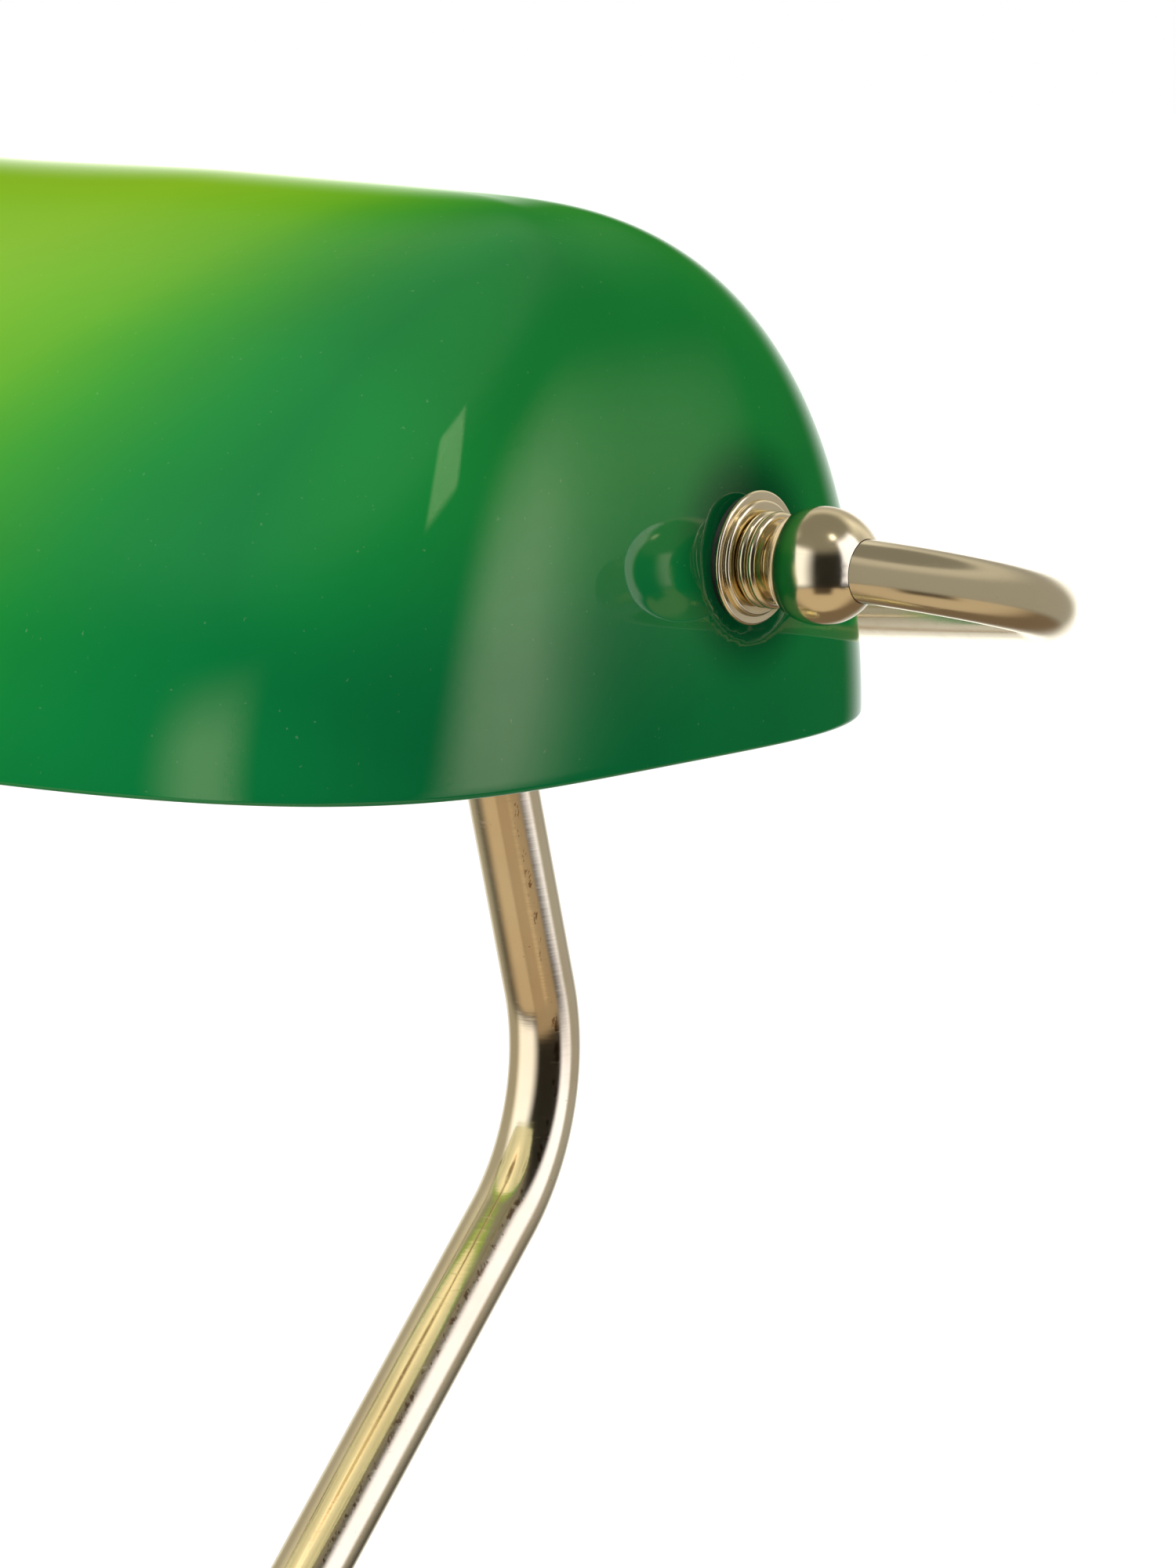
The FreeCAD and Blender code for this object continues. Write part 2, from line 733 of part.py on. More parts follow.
def cord_inlet_bushing():
    """Snap-in bushing: outside flange, body through the cover and a collar behind it."""
    outer_face = base_radius + thread_gap
    inner_wall = base_radius - cover_wall
    collar_face = math.sqrt(inner_wall ** 2 - inlet_flange_radius ** 2) - thread_gap
    outer_end = outer_face + inlet_flange_thickness
    body = cylinder(inlet_body_radius, on_inlet(outer_end - inlet_length), on_inlet(outer_face))
    body = body.fuse(cylinder(inlet_flange_radius, on_inlet(outer_face), on_inlet(outer_end)))
    body = body.fuse(cylinder(inlet_flange_radius - 0.3, on_inlet(collar_face - inlet_flange_thickness),
                              on_inlet(collar_face)))
    bore = cylinder(inlet_bore_radius, on_inlet(outer_face - inlet_length - 1), on_inlet(outer_face + 3))
    return body.cut(bore).removeSplitter()


def plate_screw_places():
    """Three places round the base, clear of the cord's channel."""
    return [Vector(plate_screw_circle * math.cos(angle), plate_screw_circle * math.sin(angle), 0)
            for angle in (math.radians(30 + 120 * i) + math.pi for i in range(3))]


def plate_screw(place, extra):
    """Countersunk screw from below, larger by a clearance when it is used as its own hole."""
    head = plate_screw_head_radius + extra
    shank = plate_screw_radius + extra
    outline = [
        (0, pad_thickness),
        (head, pad_thickness),
        (shank, pad_thickness + plate_screw_head_radius - plate_screw_radius),
        (shank, pad_thickness + plate_screw_length + extra),
        (0, pad_thickness + plate_screw_length + extra),
    ]
    screw = turned(outline)
    screw.translate(place)
    return screw


def base_plate_screws():
    """The three screws, as one group."""
    return Part.makeCompound([plate_screw(place, 0) for place in plate_screw_places()])


def base_plate():
    """Flat steel plate that closes the base."""
    plate = cylinder(plate_radius, Vector(0, 0, pad_thickness), Vector(0, 0, weight_bottom))
    for place in plate_screw_places():
        plate = plate.cut(plate_screw(place, fit))
    return plate


def base_pad():
    """Felt disc that the lamp stands on."""
    return cylinder(pad_radius, ORIGIN, Vector(0, 0, pad_thickness))


def base_weight():
    """Cast weight: stepped disc with a hub under the stem, a recess for the nut and a cord channel."""
    underside = base_top - cover_wall
    outline = [
        (0, weight_bottom),
        (weight_radius, weight_bottom),
        (weight_radius, weight_bottom + weight_edge_height),
        (weight_step_radius, weight_bottom + weight_body_height),
        (weight_hub_radius + 3, weight_bottom + weight_body_height),
        (weight_hub_radius, weight_bottom + weight_body_height + 3),
        (weight_hub_radius, underside),
        (0, underside),
    ]
    weight = turned(outline)
    weight = weight.cut(cylinder(weight_recess_radius, Vector(0, 0, 0), Vector(0, 0, weight_recess_top)))
    weight = weight.cut(cylinder(stem_radius + fit, Vector(0, 0, 0), Vector(0, 0, base_top)))
    channel = Part.makeBox(cord_slot_width, weight_radius + 5, weight_edge_height - 1.5,
                           Vector(-cord_slot_width / 2, 0, weight_bottom - 1))
    weight = weight.cut(channel)
    for place in plate_screw_places():
        weight = weight.cut(plate_screw(place, fit))
    return weight


def stem_foot_collar():
    """Turned collar round the stem where it enters the base."""
    outline = [
        (stem_radius + fit, base_top),
        (foot_radius, base_top),
        (foot_radius, base_top + 2),
        ("arc", (foot_radius - 0.9, base_top + 3.5), (foot_radius - 2.6, base_top + 4)),
        ("arc", (foot_top_radius + 0.9, base_top + 5.6), (foot_top_radius, base_top + 8.6)),
        (foot_top_radius, base_top + foot_height - 1.5),
        ("arc", (foot_top_radius - 0.45, base_top + foot_height - 0.45),
         (foot_top_radius - 1.5, base_top + foot_height)),
        (stem_radius + fit, base_top + foot_height),
    ]
    collar = turned(outline)
    return collar.cut(cylinder(foot_screw_radius + fit, on_foot_screw(0), on_foot_screw(foot_radius)))


def on_foot_screw(outward):
    """Point of the axis of the foot collar's screw, at the back of the stem."""
    return Vector(0, outward, base_top + foot_screw_height)


def foot_collar_screw():
    """Small grub screw at the back of the foot collar."""
    return cylinder(foot_screw_radius, on_foot_screw(stem_radius + thread_gap), on_foot_screw(foot_top_radius - 0.3))


def stem_washer():
    """Lock washer between the weight and the nut."""
    top = Vector(0, 0, weight_recess_top)
    return ring(stem_washer_radius, stem_radius + fit, top - Vector(0, 0, stem_washer_thickness), top)


def stem_locknut():
    """Nut on the threaded end of the stem, inside the weight's recess."""
    top = weight_recess_top - stem_washer_thickness
    return hex_nut(stem_nut_flats, stem_radius + fit, Vector(0, 0, top), Vector(0, 0, top - stem_nut_height))


# ---------------------------------------------------------------- the lamp
def lamp():
    """Every node of the lamp by name."""
    nodes = {
        "base_cover": base_cover(),
        "base_weight": base_weight(),
        "base_plate": base_plate(),
        "base_pad": base_pad(),
        "base_plate_screws": base_plate_screws(),
        "cord_inlet_bushing": cord_inlet_bushing(),
        "stem_foot_collar": stem_foot_collar(),
        "foot_collar_screw": foot_collar_screw(),
        "stem_washer": stem_washer(),
        "stem_locknut": stem_locknut(),
        "stem_tube": stem_tube(),
        "yoke_hub": yoke_hub(),
        "yoke_grub_screw": grub_screw(yoke_grub_end(0), hub_front * -1),
        "stem_grub_screw": grub_screw(stem_grub_end(0), hub_front * -1),
        "yoke_tube": yoke_tube(),
        "right_ball_knob": ball_knob(1),
        "left_ball_knob": ball_knob(-1),
        "glass_shade": glass_shade(),
        "lampholder_arm": lampholder_arm(),
        "arm_locknut": arm_locknut(),
        "lampholder_cap": lampholder_cap(),
        "lampholder_body": lampholder_body(),
        "lampholder_insert": lampholder_insert(),
        "contact_spring": contact_spring(),
        "thread_sleeve": thread_sleeve(),
        "bulb_cap": bulb_cap(),
        "bulb_insulator": bulb_insulator(),
        "bulb_contact": bulb_contact(),
        "bulb_glass": bulb_glass(),
    }
    pivot_pieces = {
        "ribbed_collar": ribbed_collar(),
        "stepped_flange": stepped_flange(),
        "pivot_stud": pivot_stud(),
        "pivot_bush": pivot_bush(),
        "inner_soft_washer": inner_soft_washer(),
        "stud_washer": stud_washer(),
        "stud_locknut": stud_locknut(),
    }
    for name, shape in pivot_pieces.items():
        nodes["right_" + name] = shape
        nodes["left_" + name] = half_turned(shape)
    return nodes


for node_name, node_shape in lamp().items():
    node_shape.exportStep("parts/" + node_name + ".step")
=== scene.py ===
"""Banker desk lamp, lit: a cased green glass shade that tilts on a bent brass yoke,
on a bent brass stem and a round weighted base.

The scene is in metres, and shapes are worked out in millimetres and turned to metres in their meshes. The
CAD frame gives the places, and sizes that a node's box can't give are named below.
"""
import json
import math

import bpy
import numpy as np
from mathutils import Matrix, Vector

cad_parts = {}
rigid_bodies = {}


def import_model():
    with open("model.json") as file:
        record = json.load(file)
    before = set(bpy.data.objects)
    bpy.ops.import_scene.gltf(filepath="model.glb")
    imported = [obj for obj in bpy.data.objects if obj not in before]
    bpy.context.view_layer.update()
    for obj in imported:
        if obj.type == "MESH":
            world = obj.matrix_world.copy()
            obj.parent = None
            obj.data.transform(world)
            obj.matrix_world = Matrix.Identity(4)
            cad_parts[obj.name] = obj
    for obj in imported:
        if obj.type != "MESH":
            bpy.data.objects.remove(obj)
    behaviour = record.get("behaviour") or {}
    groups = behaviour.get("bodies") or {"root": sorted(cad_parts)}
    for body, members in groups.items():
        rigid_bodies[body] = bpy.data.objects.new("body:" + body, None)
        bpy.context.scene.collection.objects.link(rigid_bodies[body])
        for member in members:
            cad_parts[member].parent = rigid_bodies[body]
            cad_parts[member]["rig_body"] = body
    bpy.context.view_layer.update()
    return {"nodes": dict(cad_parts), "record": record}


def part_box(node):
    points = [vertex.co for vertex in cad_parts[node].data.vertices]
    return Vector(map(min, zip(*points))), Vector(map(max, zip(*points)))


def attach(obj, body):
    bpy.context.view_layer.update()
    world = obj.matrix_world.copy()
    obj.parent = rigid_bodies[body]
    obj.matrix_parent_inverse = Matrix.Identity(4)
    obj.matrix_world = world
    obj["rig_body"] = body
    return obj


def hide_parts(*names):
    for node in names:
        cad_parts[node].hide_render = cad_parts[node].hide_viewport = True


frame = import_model()
MM = 0.001

# ------------------------------------------------------------------ sizes, in millimetres
KNOB_LOW, KNOB_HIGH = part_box("right_ball_knob")
PIVOT_HEIGHT = (KNOB_LOW.z + KNOB_HIGH.z) / 2 / MM
BALL_CENTRE_X = (KNOB_LOW.x + KNOB_HIGH.x) / 2 / MM

SHADE_HALF_LENGTH = 111.7
SHADE_HALF_DEPTH = 68.5
SHADE_HEIGHT = 64.4
SHADE_WALL = 3.8
SHADE_END = 46.2
SHADE_END_POWER = 0.31
SECTION_POWER = 1.77
RIM_PLAN_POWER, RIDGE_PLAN_POWER = 4.0, 6.3
RIM_BELOW_PIVOT = 22.9
PIVOT_BEHIND_MIDDLE = 15.4
REST_TILT = math.radians(2.25)
RIDGE_SLUMP, RIDGE_SLUMP_REACH = 0.9, 42.0
LIP_EASE = 0.7
SEAT_RADIUS = 8.6
SEAT_DEPTH = 1.8
SEAT_WALL = 3.6
SEAT_EDGE, SEAT_EDGE_END = 1.0, SEAT_RADIUS + 0.8
SEAT_OUTER_X = SHADE_HALF_LENGTH - SEAT_DEPTH
SEAT_INNER_X = SEAT_OUTER_X - SEAT_WALL

YOKE_RADIUS = 3.75
YOKE_FALL = math.radians(16)
YOKE_START_IN_BALL = 1.0
YOKE_HOOK_CENTRE = 2.4
YOKE_HOOK_BEND = 16.0
YOKE_BACK_CORNER = 45.7
YOKE_BACK_BEND = 35.0

STEM_RADIUS = 5.0
STEM_BEND = 32.0
STEM_UPRIGHT = 106.2
STEM_IN_HUB = 6.2
HUB_TO_KNEE = np.array([0, 22.36, -79.46])

ARM_RADIUS = 4.0
ARM_BEND = 16.0
ARM_BELOW_HUB = 14.0
ARM_IN_BOSS = 7.3
ARM_IN_HOLDER = 6.9
HOLDER_RISE = math.radians(38)
HOLDER_TO_BULB_CENTRE = 64.5

BULB_RADIUS = 22.5
BULB_CENTRE = np.array([0.0, -12.0, PIVOT_HEIGHT + 3])
BULB_NECK_RADIUS, BULB_NECK_START = 8.2, 40.05
BULB_COVE_RADIUS, BULB_COVE_HEIGHT = 8.6, 43.6
BULB_COVE_END = math.radians(-57)
THREAD_RADIUS, THREAD_DEPTH, THREAD_PITCH = 6.95, 0.3, 3.0
THREAD_START, THREAD_LENGTH = 23.5, 16.5
THREAD_RUN_OUT = 1.5
FELT_EASE = 0.5

# The middle of the glow that the right half of the shade shows, past the lamp's middle and above the bulb.
# The left half mirrors it.
GLOW_CENTRE = np.array([-28.3, 15.3, PIVOT_HEIGHT + 19.9])

# The viewer's side, round which the studio is set out: the way to the viewer, and to their right.
FRONT_AZIMUTH = math.radians(37.06)
TOWARD_VIEWER = (math.sin(FRONT_AZIMUTH), -math.cos(FRONT_AZIMUTH), 0)
TO_THE_RIGHT = (math.cos(FRONT_AZIMUTH), math.sin(FRONT_AZIMUTH), 0)


# ------------------------------------------------------------------ surfaces
def surface(name, points, size):
    """Sheet of quads through a (rows, columns, 3) grid of points in millimetres.

    Each row closes on itself, and a row that shrinks to a point or doubles back on itself is merged, so
    that the skin is closed. size is the sheet's length along a row and along a column, in metres, so its
    UV map runs in metres.
    """
    rows, columns = points.shape[:2]
    index = np.arange(rows * columns).reshape(rows, columns)
    here, above = index[:-1], index[1:]
    quads = np.stack([here, np.roll(here, -1, 1), np.roll(above, -1, 1), above], -1).reshape(-1, 4)
    mesh = bpy.data.meshes.new(name)
    mesh.from_pydata(points.reshape(-1, 3) * MM, [], quads)
    row, column = np.divmod(np.arange(len(quads)), columns)
    across = np.stack([column, column + 1, column + 1, column], -1) / columns * size[0]
    along = np.stack([row, row, row + 1, row + 1], -1) / (rows - 1) * size[1]
    layer = mesh.uv_layers.new(name="surface")
    layer.data.foreach_set("uv", np.stack([across, along], -1).astype(np.float32).ravel())
    piece = bpy.data.objects.new(name, mesh)
    bpy.context.scene.collection.objects.link(piece)
    merge = piece.modifiers.new("closed poles", "WELD")
    merge.merge_threshold = 1e-6
    mesh.shade_smooth()
    return piece


def square_to(axis):
    """Two unit vectors square to an axis and to each other, in right-hand order."""
    axis = np.array(axis, float) / np.linalg.norm(axis)
    side = np.cross(axis, [0, 0, 1] if abs(axis[2]) < 0.9 else [1, 0, 0])
    side /= np.linalg.norm(side)
    return axis, side, np.cross(axis, side)


def softened(corners):
    """Outline through (radius, height, softness) corners.

    A corner P becomes the curve (1-t)^2 A + 2t(1-t) P + t^2 B between the points A and B that lie
    one softness before and after it; a softness of 0 leaves the corner sharp.
    """
    corners = np.array(corners, float)
    place, soft = corners[:, :2], corners[:, 2:3]
    before = np.roll(place, 1, 0) - place
    after = np.roll(place, -1, 0) - place
    start = place + before / np.linalg.norm(before, axis=1, keepdims=True) * soft
    end = place + after / np.linalg.norm(after, axis=1, keepdims=True) * soft
    points_per_corner = 7
    t = np.linspace(0, 1, points_per_corner)[None, :, None]
    curve = (1 - t) ** 2 * start[:, None] + 2 * t * (1 - t) * place[:, None] + t ** 2 * end[:, None]
    curve = curve.reshape(-1, 2)
    new = np.r_[True, np.linalg.norm(np.diff(curve, axis=0), axis=1) > 1e-6]
    return curve[new]


def turned(name, outline, start, axis, steps=128):
    """Surface of revolution: outline point (r, h) goes to start + h axis + r (cos a side + sin a other)."""
    axis, side, other = square_to(axis)
    angle = np.linspace(0, 2 * np.pi, steps, endpoint=False)
    round_ = np.cos(angle)[:, None] * side + np.sin(angle)[:, None] * other
    points = np.array(start) + outline[:, 1, None, None] * axis + outline[:, 0, None, None] * round_
    girth = 2 * np.pi * outline[:, 0].max() * MM
    run = np.linalg.norm(np.diff(outline, axis=0), axis=1).sum() * MM
    return surface(name, points, (girth, run))


def rounded_route(corners, bends, spacing=1.0):
    """Points along straight runs joined by arcs, as a bent tube has them.

    At a corner with half angle h, an arc of radius R starts R / tan h before the corner and its centre
    lies R / sin h from it along the bisector; its points are centre + R (cos u out + sin u ahead).
    """
    corners = [np.array(c, float) for c in corners]
    parts = [corners[0][None]]
    for before, corner, after, bend in zip(corners, corners[1:], corners[2:], bends):
        back = (before - corner) / np.linalg.norm(before - corner)
        ahead = (after - corner) / np.linalg.norm(after - corner)
        half = math.acos(np.clip(back @ ahead, -1, 1)) / 2
        inward = (back + ahead) / np.linalg.norm(back + ahead)
        sweep = (ahead - back) / np.linalg.norm(ahead - back)
        centre = corner + inward * bend / math.sin(half)
        turn = np.pi / 2 - half
        points_on_arc = max(9, int(2 * turn * bend / spacing))
        u = np.linspace(-turn, turn, points_on_arc)[:, None]
        parts.append(centre + bend * (-np.cos(u) * inward + np.sin(u) * sweep))
    parts.append(corners[-1][None])
    joined = [parts[0]]
    for arc in parts[1:]:
        gap = np.linalg.norm(arc[0] - joined[-1][-1])
        t = np.linspace(0, 1, max(2, int(gap / (3 * spacing))), endpoint=False)[1:, None]
        joined += [joined[-1][-1] * (1 - t) + arc[0] * t, arc]
    return np.concatenate(joined)


def tube_along(name, route, radius, steps=72):
    """Tube round a route that lies in one plane: route + radius (cos a across + sin a plane normal).

    Each end closes with a flat disc, which lies inside its socket.
    """
    ahead = np.gradient(route, axis=0)
    ahead /= np.linalg.norm(ahead, axis=1, keepdims=True)
    spread = np.linalg.svd(route - route.mean(0))[2]
    normal = spread[2]
    across = np.cross(ahead, normal)
    angle = np.linspace(0, 2 * np.pi, steps, endpoint=False)[None, :, None]
    rings = route[:, None] + radius * (np.cos(angle) * across[:, None] - np.sin(angle) * normal)
    ends = np.repeat(route[[0, -1], None], steps, 1)
    points = np.concatenate([ends[:1], rings, ends[1:]])
    run = np.linalg.norm(np.diff(route, axis=0), axis=1).sum() * MM
    return surface(name, points, (2 * np.pi * radius * MM, run))


# ------------------------------------------------------------------ glass shade
def superellipse(angle, exponent):
    """Point of |c|^e + |s|^e = 1 in the direction of an angle."""
    c, s = np.cos(angle), np.sin(angle)
    reach = (np.abs(c) ** exponent + np.abs(s) ** exponent) ** (-1 / exponent)
    return reach * c, reach * s


def shade_wall_point(turn, climb, inset):
    """Point of the shade's wall, in millimetres.

    The cross-section is a superellipse of exponent SECTION_POWER from rim (climb 0) to ridge (pi / 2).
    At each height the plan is a superellipse whose exponent grows from RIM_PLAN_POWER to RIDGE_PLAN_POWER
    with the height squared, and the ends draw in with the width to the power SHADE_END_POWER. The hot
    glass sank a little at the middle of the ridge, by RIDGE_SLUMP (1 - (x / RIDGE_SLUMP_REACH)^2)^2.
    """
    width, height = superellipse(climb, SECTION_POWER)
    width = np.maximum(width, 0)
    plan_power = RIM_PLAN_POWER + (RIDGE_PLAN_POWER - RIM_PLAN_POWER) * height ** 2
    along, across = superellipse(turn, plan_power)
    half_length = SHADE_HALF_LENGTH - SHADE_END - inset + SHADE_END * width ** SHADE_END_POWER
    x = half_length * along
    y = (SHADE_HALF_DEPTH - inset) * width * across - PIVOT_BEHIND_MIDDLE
    slump = RIDGE_SLUMP * np.clip(1 - (x / RIDGE_SLUMP_REACH) ** 2, 0, 1) ** 2 * height ** 4
    z = (SHADE_HEIGHT - inset) * height - slump - RIM_BELOW_PIVOT
    return np.stack(np.broadcast_arrays(x, y, z), -1)


def seated(points, seat_x):
    """The wall ground flat at each pivot: within the seat, |x| goes no further out than seat_x.

    The seat's edge runs out by 3 q^2 - 2 q^3, where q falls from 1 to 0 over the last SEAT_EDGE before
    SEAT_EDGE_END.
    """
    off_axis = np.hypot(points[..., 1], points[..., 2])
    inside = np.clip((SEAT_EDGE_END - off_axis) / SEAT_EDGE, 0, 1)
    inside = inside * inside * (3 - 2 * inside)
    x = points[..., 0]
    beyond = np.maximum(np.abs(x) - seat_x, 0)
    points[..., 0] = x - np.sign(x) * beyond * inside
    return points


def glass_shade():
    """Outer wall from ridge to rim, eased lip, inner wall from rim to ridge, as one closed skin.

    At the ridge the front and back halves of a row meet and are merged, so the skin has no slit there.
    The lip's arrises are quarter circles: the wall stands LIP_EASE (1 - sqrt(1 - q^2)) above the rim
    plane, where q grows from 0 to 1 over the last LIP_EASE before either face.
    """
    columns, outer_rows, lip_rows, inner_rows = 384, 110, 18, 56
    turn = np.linspace(0, 2 * np.pi, columns, endpoint=False)[None, :]
    start, near_ridge, ridge = LIP_EASE / SHADE_HEIGHT, math.radians(89.9), np.pi / 2
    outer_climb = np.r_[ridge, np.linspace(near_ridge, start, outer_rows)][:, None]
    outer = seated(shade_wall_point(turn, outer_climb, 0.0), SEAT_OUTER_X)
    inner_climb = np.r_[np.linspace(start, near_ridge, inner_rows), ridge][:, None]
    inner = seated(shade_wall_point(turn, inner_climb, SHADE_WALL), SEAT_INNER_X)
    share = (1 - np.cos(np.linspace(0, np.pi, lip_rows)))[1:-1, None] / 2
    inset = SHADE_WALL * share
    near_face = np.clip(1 - np.minimum(inset, SHADE_WALL - inset) / LIP_EASE, 0, 1)
    lip = shade_wall_point(turn, np.zeros_like(share), inset)
    lip[..., 2] += LIP_EASE * (1 - np.sqrt(1 - near_face ** 2))
    points = np.concatenate([outer, lip, inner])[::-1]
    y, z = points[..., 1].copy(), points[..., 2].copy()
    points[..., 1] = y * math.cos(REST_TILT) + z * math.sin(REST_TILT)
    points[..., 2] = z * math.cos(REST_TILT) - y * math.sin(REST_TILT) + PIVOT_HEIGHT
    round_the_rim, over_the_wall = 0.65, 0.2
    piece = surface("glass_shade_cased", points, (round_the_rim, over_the_wall))
    piece.data.materials.append(CASED_GREEN)
    piece.data.materials.append(OPAL)
    lined = np.arange(len(piece.data.polygons)) // columns < len(inner) - 1
    piece.data.polygons.foreach_set("material_index", lined.astype(np.int32))
    return piece


# ------------------------------------------------------------------ bent tubes
def yoke_plane(x, reach):
    """Point of the yoke's plane, reach behind the pivot line."""
    return np.array([x, reach * math.cos(YOKE_FALL), PIVOT_HEIGHT - reach * math.sin(YOKE_FALL)])


def hook_corner(hook_centre, reach):
    """Corner of the two tangents to the hook: along the pivot line, and from the back corner."""
    run = hook_centre - YOKE_BACK_CORNER
    rise = reach - 2 * YOKE_HOOK_BEND
    slope = (run + math.sqrt(run ** 2 + rise * reach)) / rise
    return hook_centre + YOKE_HOOK_BEND * slope


YOKE_REACH = (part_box("yoke_tube")[1].y / MM - YOKE_RADIUS) / math.cos(YOKE_FALL)
HUB = yoke_plane(0, YOKE_REACH)
KNEE = HUB + HUB_TO_KNEE
HUB_UP = (HUB - KNEE) / np.linalg.norm(HUB - KNEE)
HUB_FRONT = np.array([0, -HUB_UP[2], HUB_UP[1]])
HOLDER_AXIS = np.array([0, -math.cos(HOLDER_RISE), math.sin(HOLDER_RISE)])
HOLDER_BACK = BULB_CENTRE - HOLDER_AXIS * HOLDER_TO_BULB_CENTRE


def yoke_tube():
    """The yoke: pivot line, hook, leg, back run, and the same again mirrored."""
    corner = hook_corner(BALL_CENTRE_X + YOKE_HOOK_CENTRE, YOKE_REACH)
    right = [yoke_plane(BALL_CENTRE_X + YOKE_START_IN_BALL, 0), yoke_plane(corner, 0),
             yoke_plane(YOKE_BACK_CORNER, YOKE_REACH)]
    left = [point * [-1, 1, 1] for point in reversed(right)]
    bends = [YOKE_HOOK_BEND, YOKE_BACK_BEND, YOKE_BACK_BEND, YOKE_HOOK_BEND]
    return tube_along("yoke_tube_polished", rounded_route(right + left, bends), YOKE_RADIUS)


def stem_tube():
    """The stem: upright from the base, slanting back to the knee, then forward into the hub."""
    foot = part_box("stem_tube")[0].z / MM
    corners = [[0, 0, foot], [0, 0, STEM_UPRIGHT], KNEE, HUB - HUB_UP * STEM_IN_HUB]
    return tube_along("stem_tube_polished", rounded_route(corners, [STEM_BEND, STEM_BEND]), STEM_RADIUS, 96)


def lampholder_arm():
    """The arm: out of the hub's boss, then up into the lampholder."""
    start = HUB - HUB_UP * ARM_BELOW_HUB
    offset = HOLDER_BACK - start
    across = HUB_FRONT[1] * HOLDER_AXIS[2] - HUB_FRONT[2] * HOLDER_AXIS[1]
    reach = (offset[1] * HOLDER_AXIS[2] - offset[2] * HOLDER_AXIS[1]) / across
    corners = [start + HUB_FRONT * ARM_IN_BOSS, start + HUB_FRONT * reach,
               HOLDER_BACK + HOLDER_AXIS * ARM_IN_HOLDER]
    route = rounded_route(corners, [ARM_BEND], spacing=0.6)
    return tube_along("lampholder_arm_polished", route, ARM_RADIUS)


# ------------------------------------------------------------------ bulb
def bulb_envelope():
    """Round bulb: a sphere of BULB_RADIUS, eased by a cove into a short neck.

    The cove is the curve (1-t)^2 A + 2t(1-t) P + t^2 B from the neck A to the sphere's first point B.
    """
    ball_rows, cove_rows = 60, 14
    angle = np.linspace(BULB_COVE_END, np.pi / 2, ball_rows)
    ball = np.stack([BULB_RADIUS * np.cos(angle), HOLDER_TO_BULB_CENTRE + BULB_RADIUS * np.sin(angle)], -1)
    t = np.linspace(0, 1, cove_rows, endpoint=False)[:, None]
    neck = np.array([BULB_NECK_RADIUS, BULB_NECK_START])
    bend = np.array([BULB_COVE_RADIUS, BULB_COVE_HEIGHT])
    cove = (1 - t) ** 2 * neck + 2 * t * (1 - t) * bend + t ** 2 * ball[0]
    outline = np.concatenate([[[0, BULB_NECK_START]], cove, ball])
    return turned("bulb_envelope_frosted", outline, HOLDER_BACK, HOLDER_AXIS)


def bulb_cap():
    """Rolled lamp thread: THREAD_RADIUS - THREAD_DEPTH (1 - cos(angle - 2 pi height / THREAD_PITCH)).

    The cosine fades to nothing over THREAD_RUN_OUT at both ends.
    """
    rows, columns = 150, 96
    axis, side, other = square_to(HOLDER_AXIS)
    end = THREAD_START + THREAD_LENGTH
    height = np.linspace(THREAD_START, end, rows)[:, None]
    angle = np.linspace(0, 2 * np.pi, columns, endpoint=False)[None, :]
    full = np.clip(np.minimum(height - THREAD_START, end - height) / THREAD_RUN_OUT, 0, 1)
    rolled = full * np.cos(angle - 2 * np.pi * height / THREAD_PITCH)
    wave = THREAD_RADIUS - THREAD_DEPTH + THREAD_DEPTH * rolled
    round_ = np.cos(angle)[..., None] * side + np.sin(angle)[..., None] * other
    points = HOLDER_BACK + height[..., None] * axis + wave[..., None] * round_
    ends = [np.broadcast_to(points[i].mean(0), (1, columns, 3)) for i in (0, -1)]
    size = (2 * np.pi * THREAD_RADIUS * MM, THREAD_LENGTH * MM)
    return surface("bulb_cap_threaded", np.concatenate([ends[0], points, ends[1]]), size)


def felt_pad():
    """Felt disc with a soft edge: the CAD pad's outline with its two corners eased by FELT_EASE."""
    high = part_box("base_pad")[1]
    radius, thickness = high.x / MM, high.z / MM
    outline = softened([(0, 0, 0), (radius, 0, FELT_EASE), (radius, thickness, FELT_EASE),
                        (0, thickness, 0)])
    return turned("base_pad_felt", outline, [0, 0, 0], [0, 0, 1], steps=256)


# ------------------------------------------------------------------ shader helpers
def new_group(name, inputs, outputs):
    """Empty shader node group with named inputs (kind, default) and outputs, ready to wire."""
    group = bpy.data.node_groups.new(name, "ShaderNodeTree")
    for label, (kind, default) in inputs.items():
        socket = group.interface.new_socket(label, in_out="INPUT", socket_type=kind)
        socket.default_value = default
    for label, kind in outputs.items():
        group.interface.new_socket(label, in_out="OUTPUT", socket_type=kind)
    return group, group.nodes.new("NodeGroupInput").outputs, group.nodes.new("NodeGroupOutput").inputs


def wire(tree, target, value):
    """Sets a socket to a constant, or links another socket to it."""
    if isinstance(value, bpy.types.NodeSocket):
        tree.links.new(value, target)
    else:
        target.default_value = value


def calc(tree, operation, a, b=0.0, c=0.0):
    """One Math node."""
    node = tree.nodes.new("ShaderNodeMath")
    node.operation = operation
    for socket, value in zip(node.inputs, (a, b, c)):
        wire(tree, socket, value)
    return node.outputs[0]


def vector_calc(tree, operation, a, b=(0, 0, 0), output=0):
    """One Vector Math node."""
    node = tree.nodes.new("ShaderNodeVectorMath")
    node.operation = operation
    wire(tree, node.inputs[0], a)
    wire(tree, node.inputs[1], b)
    return node.outputs[output]


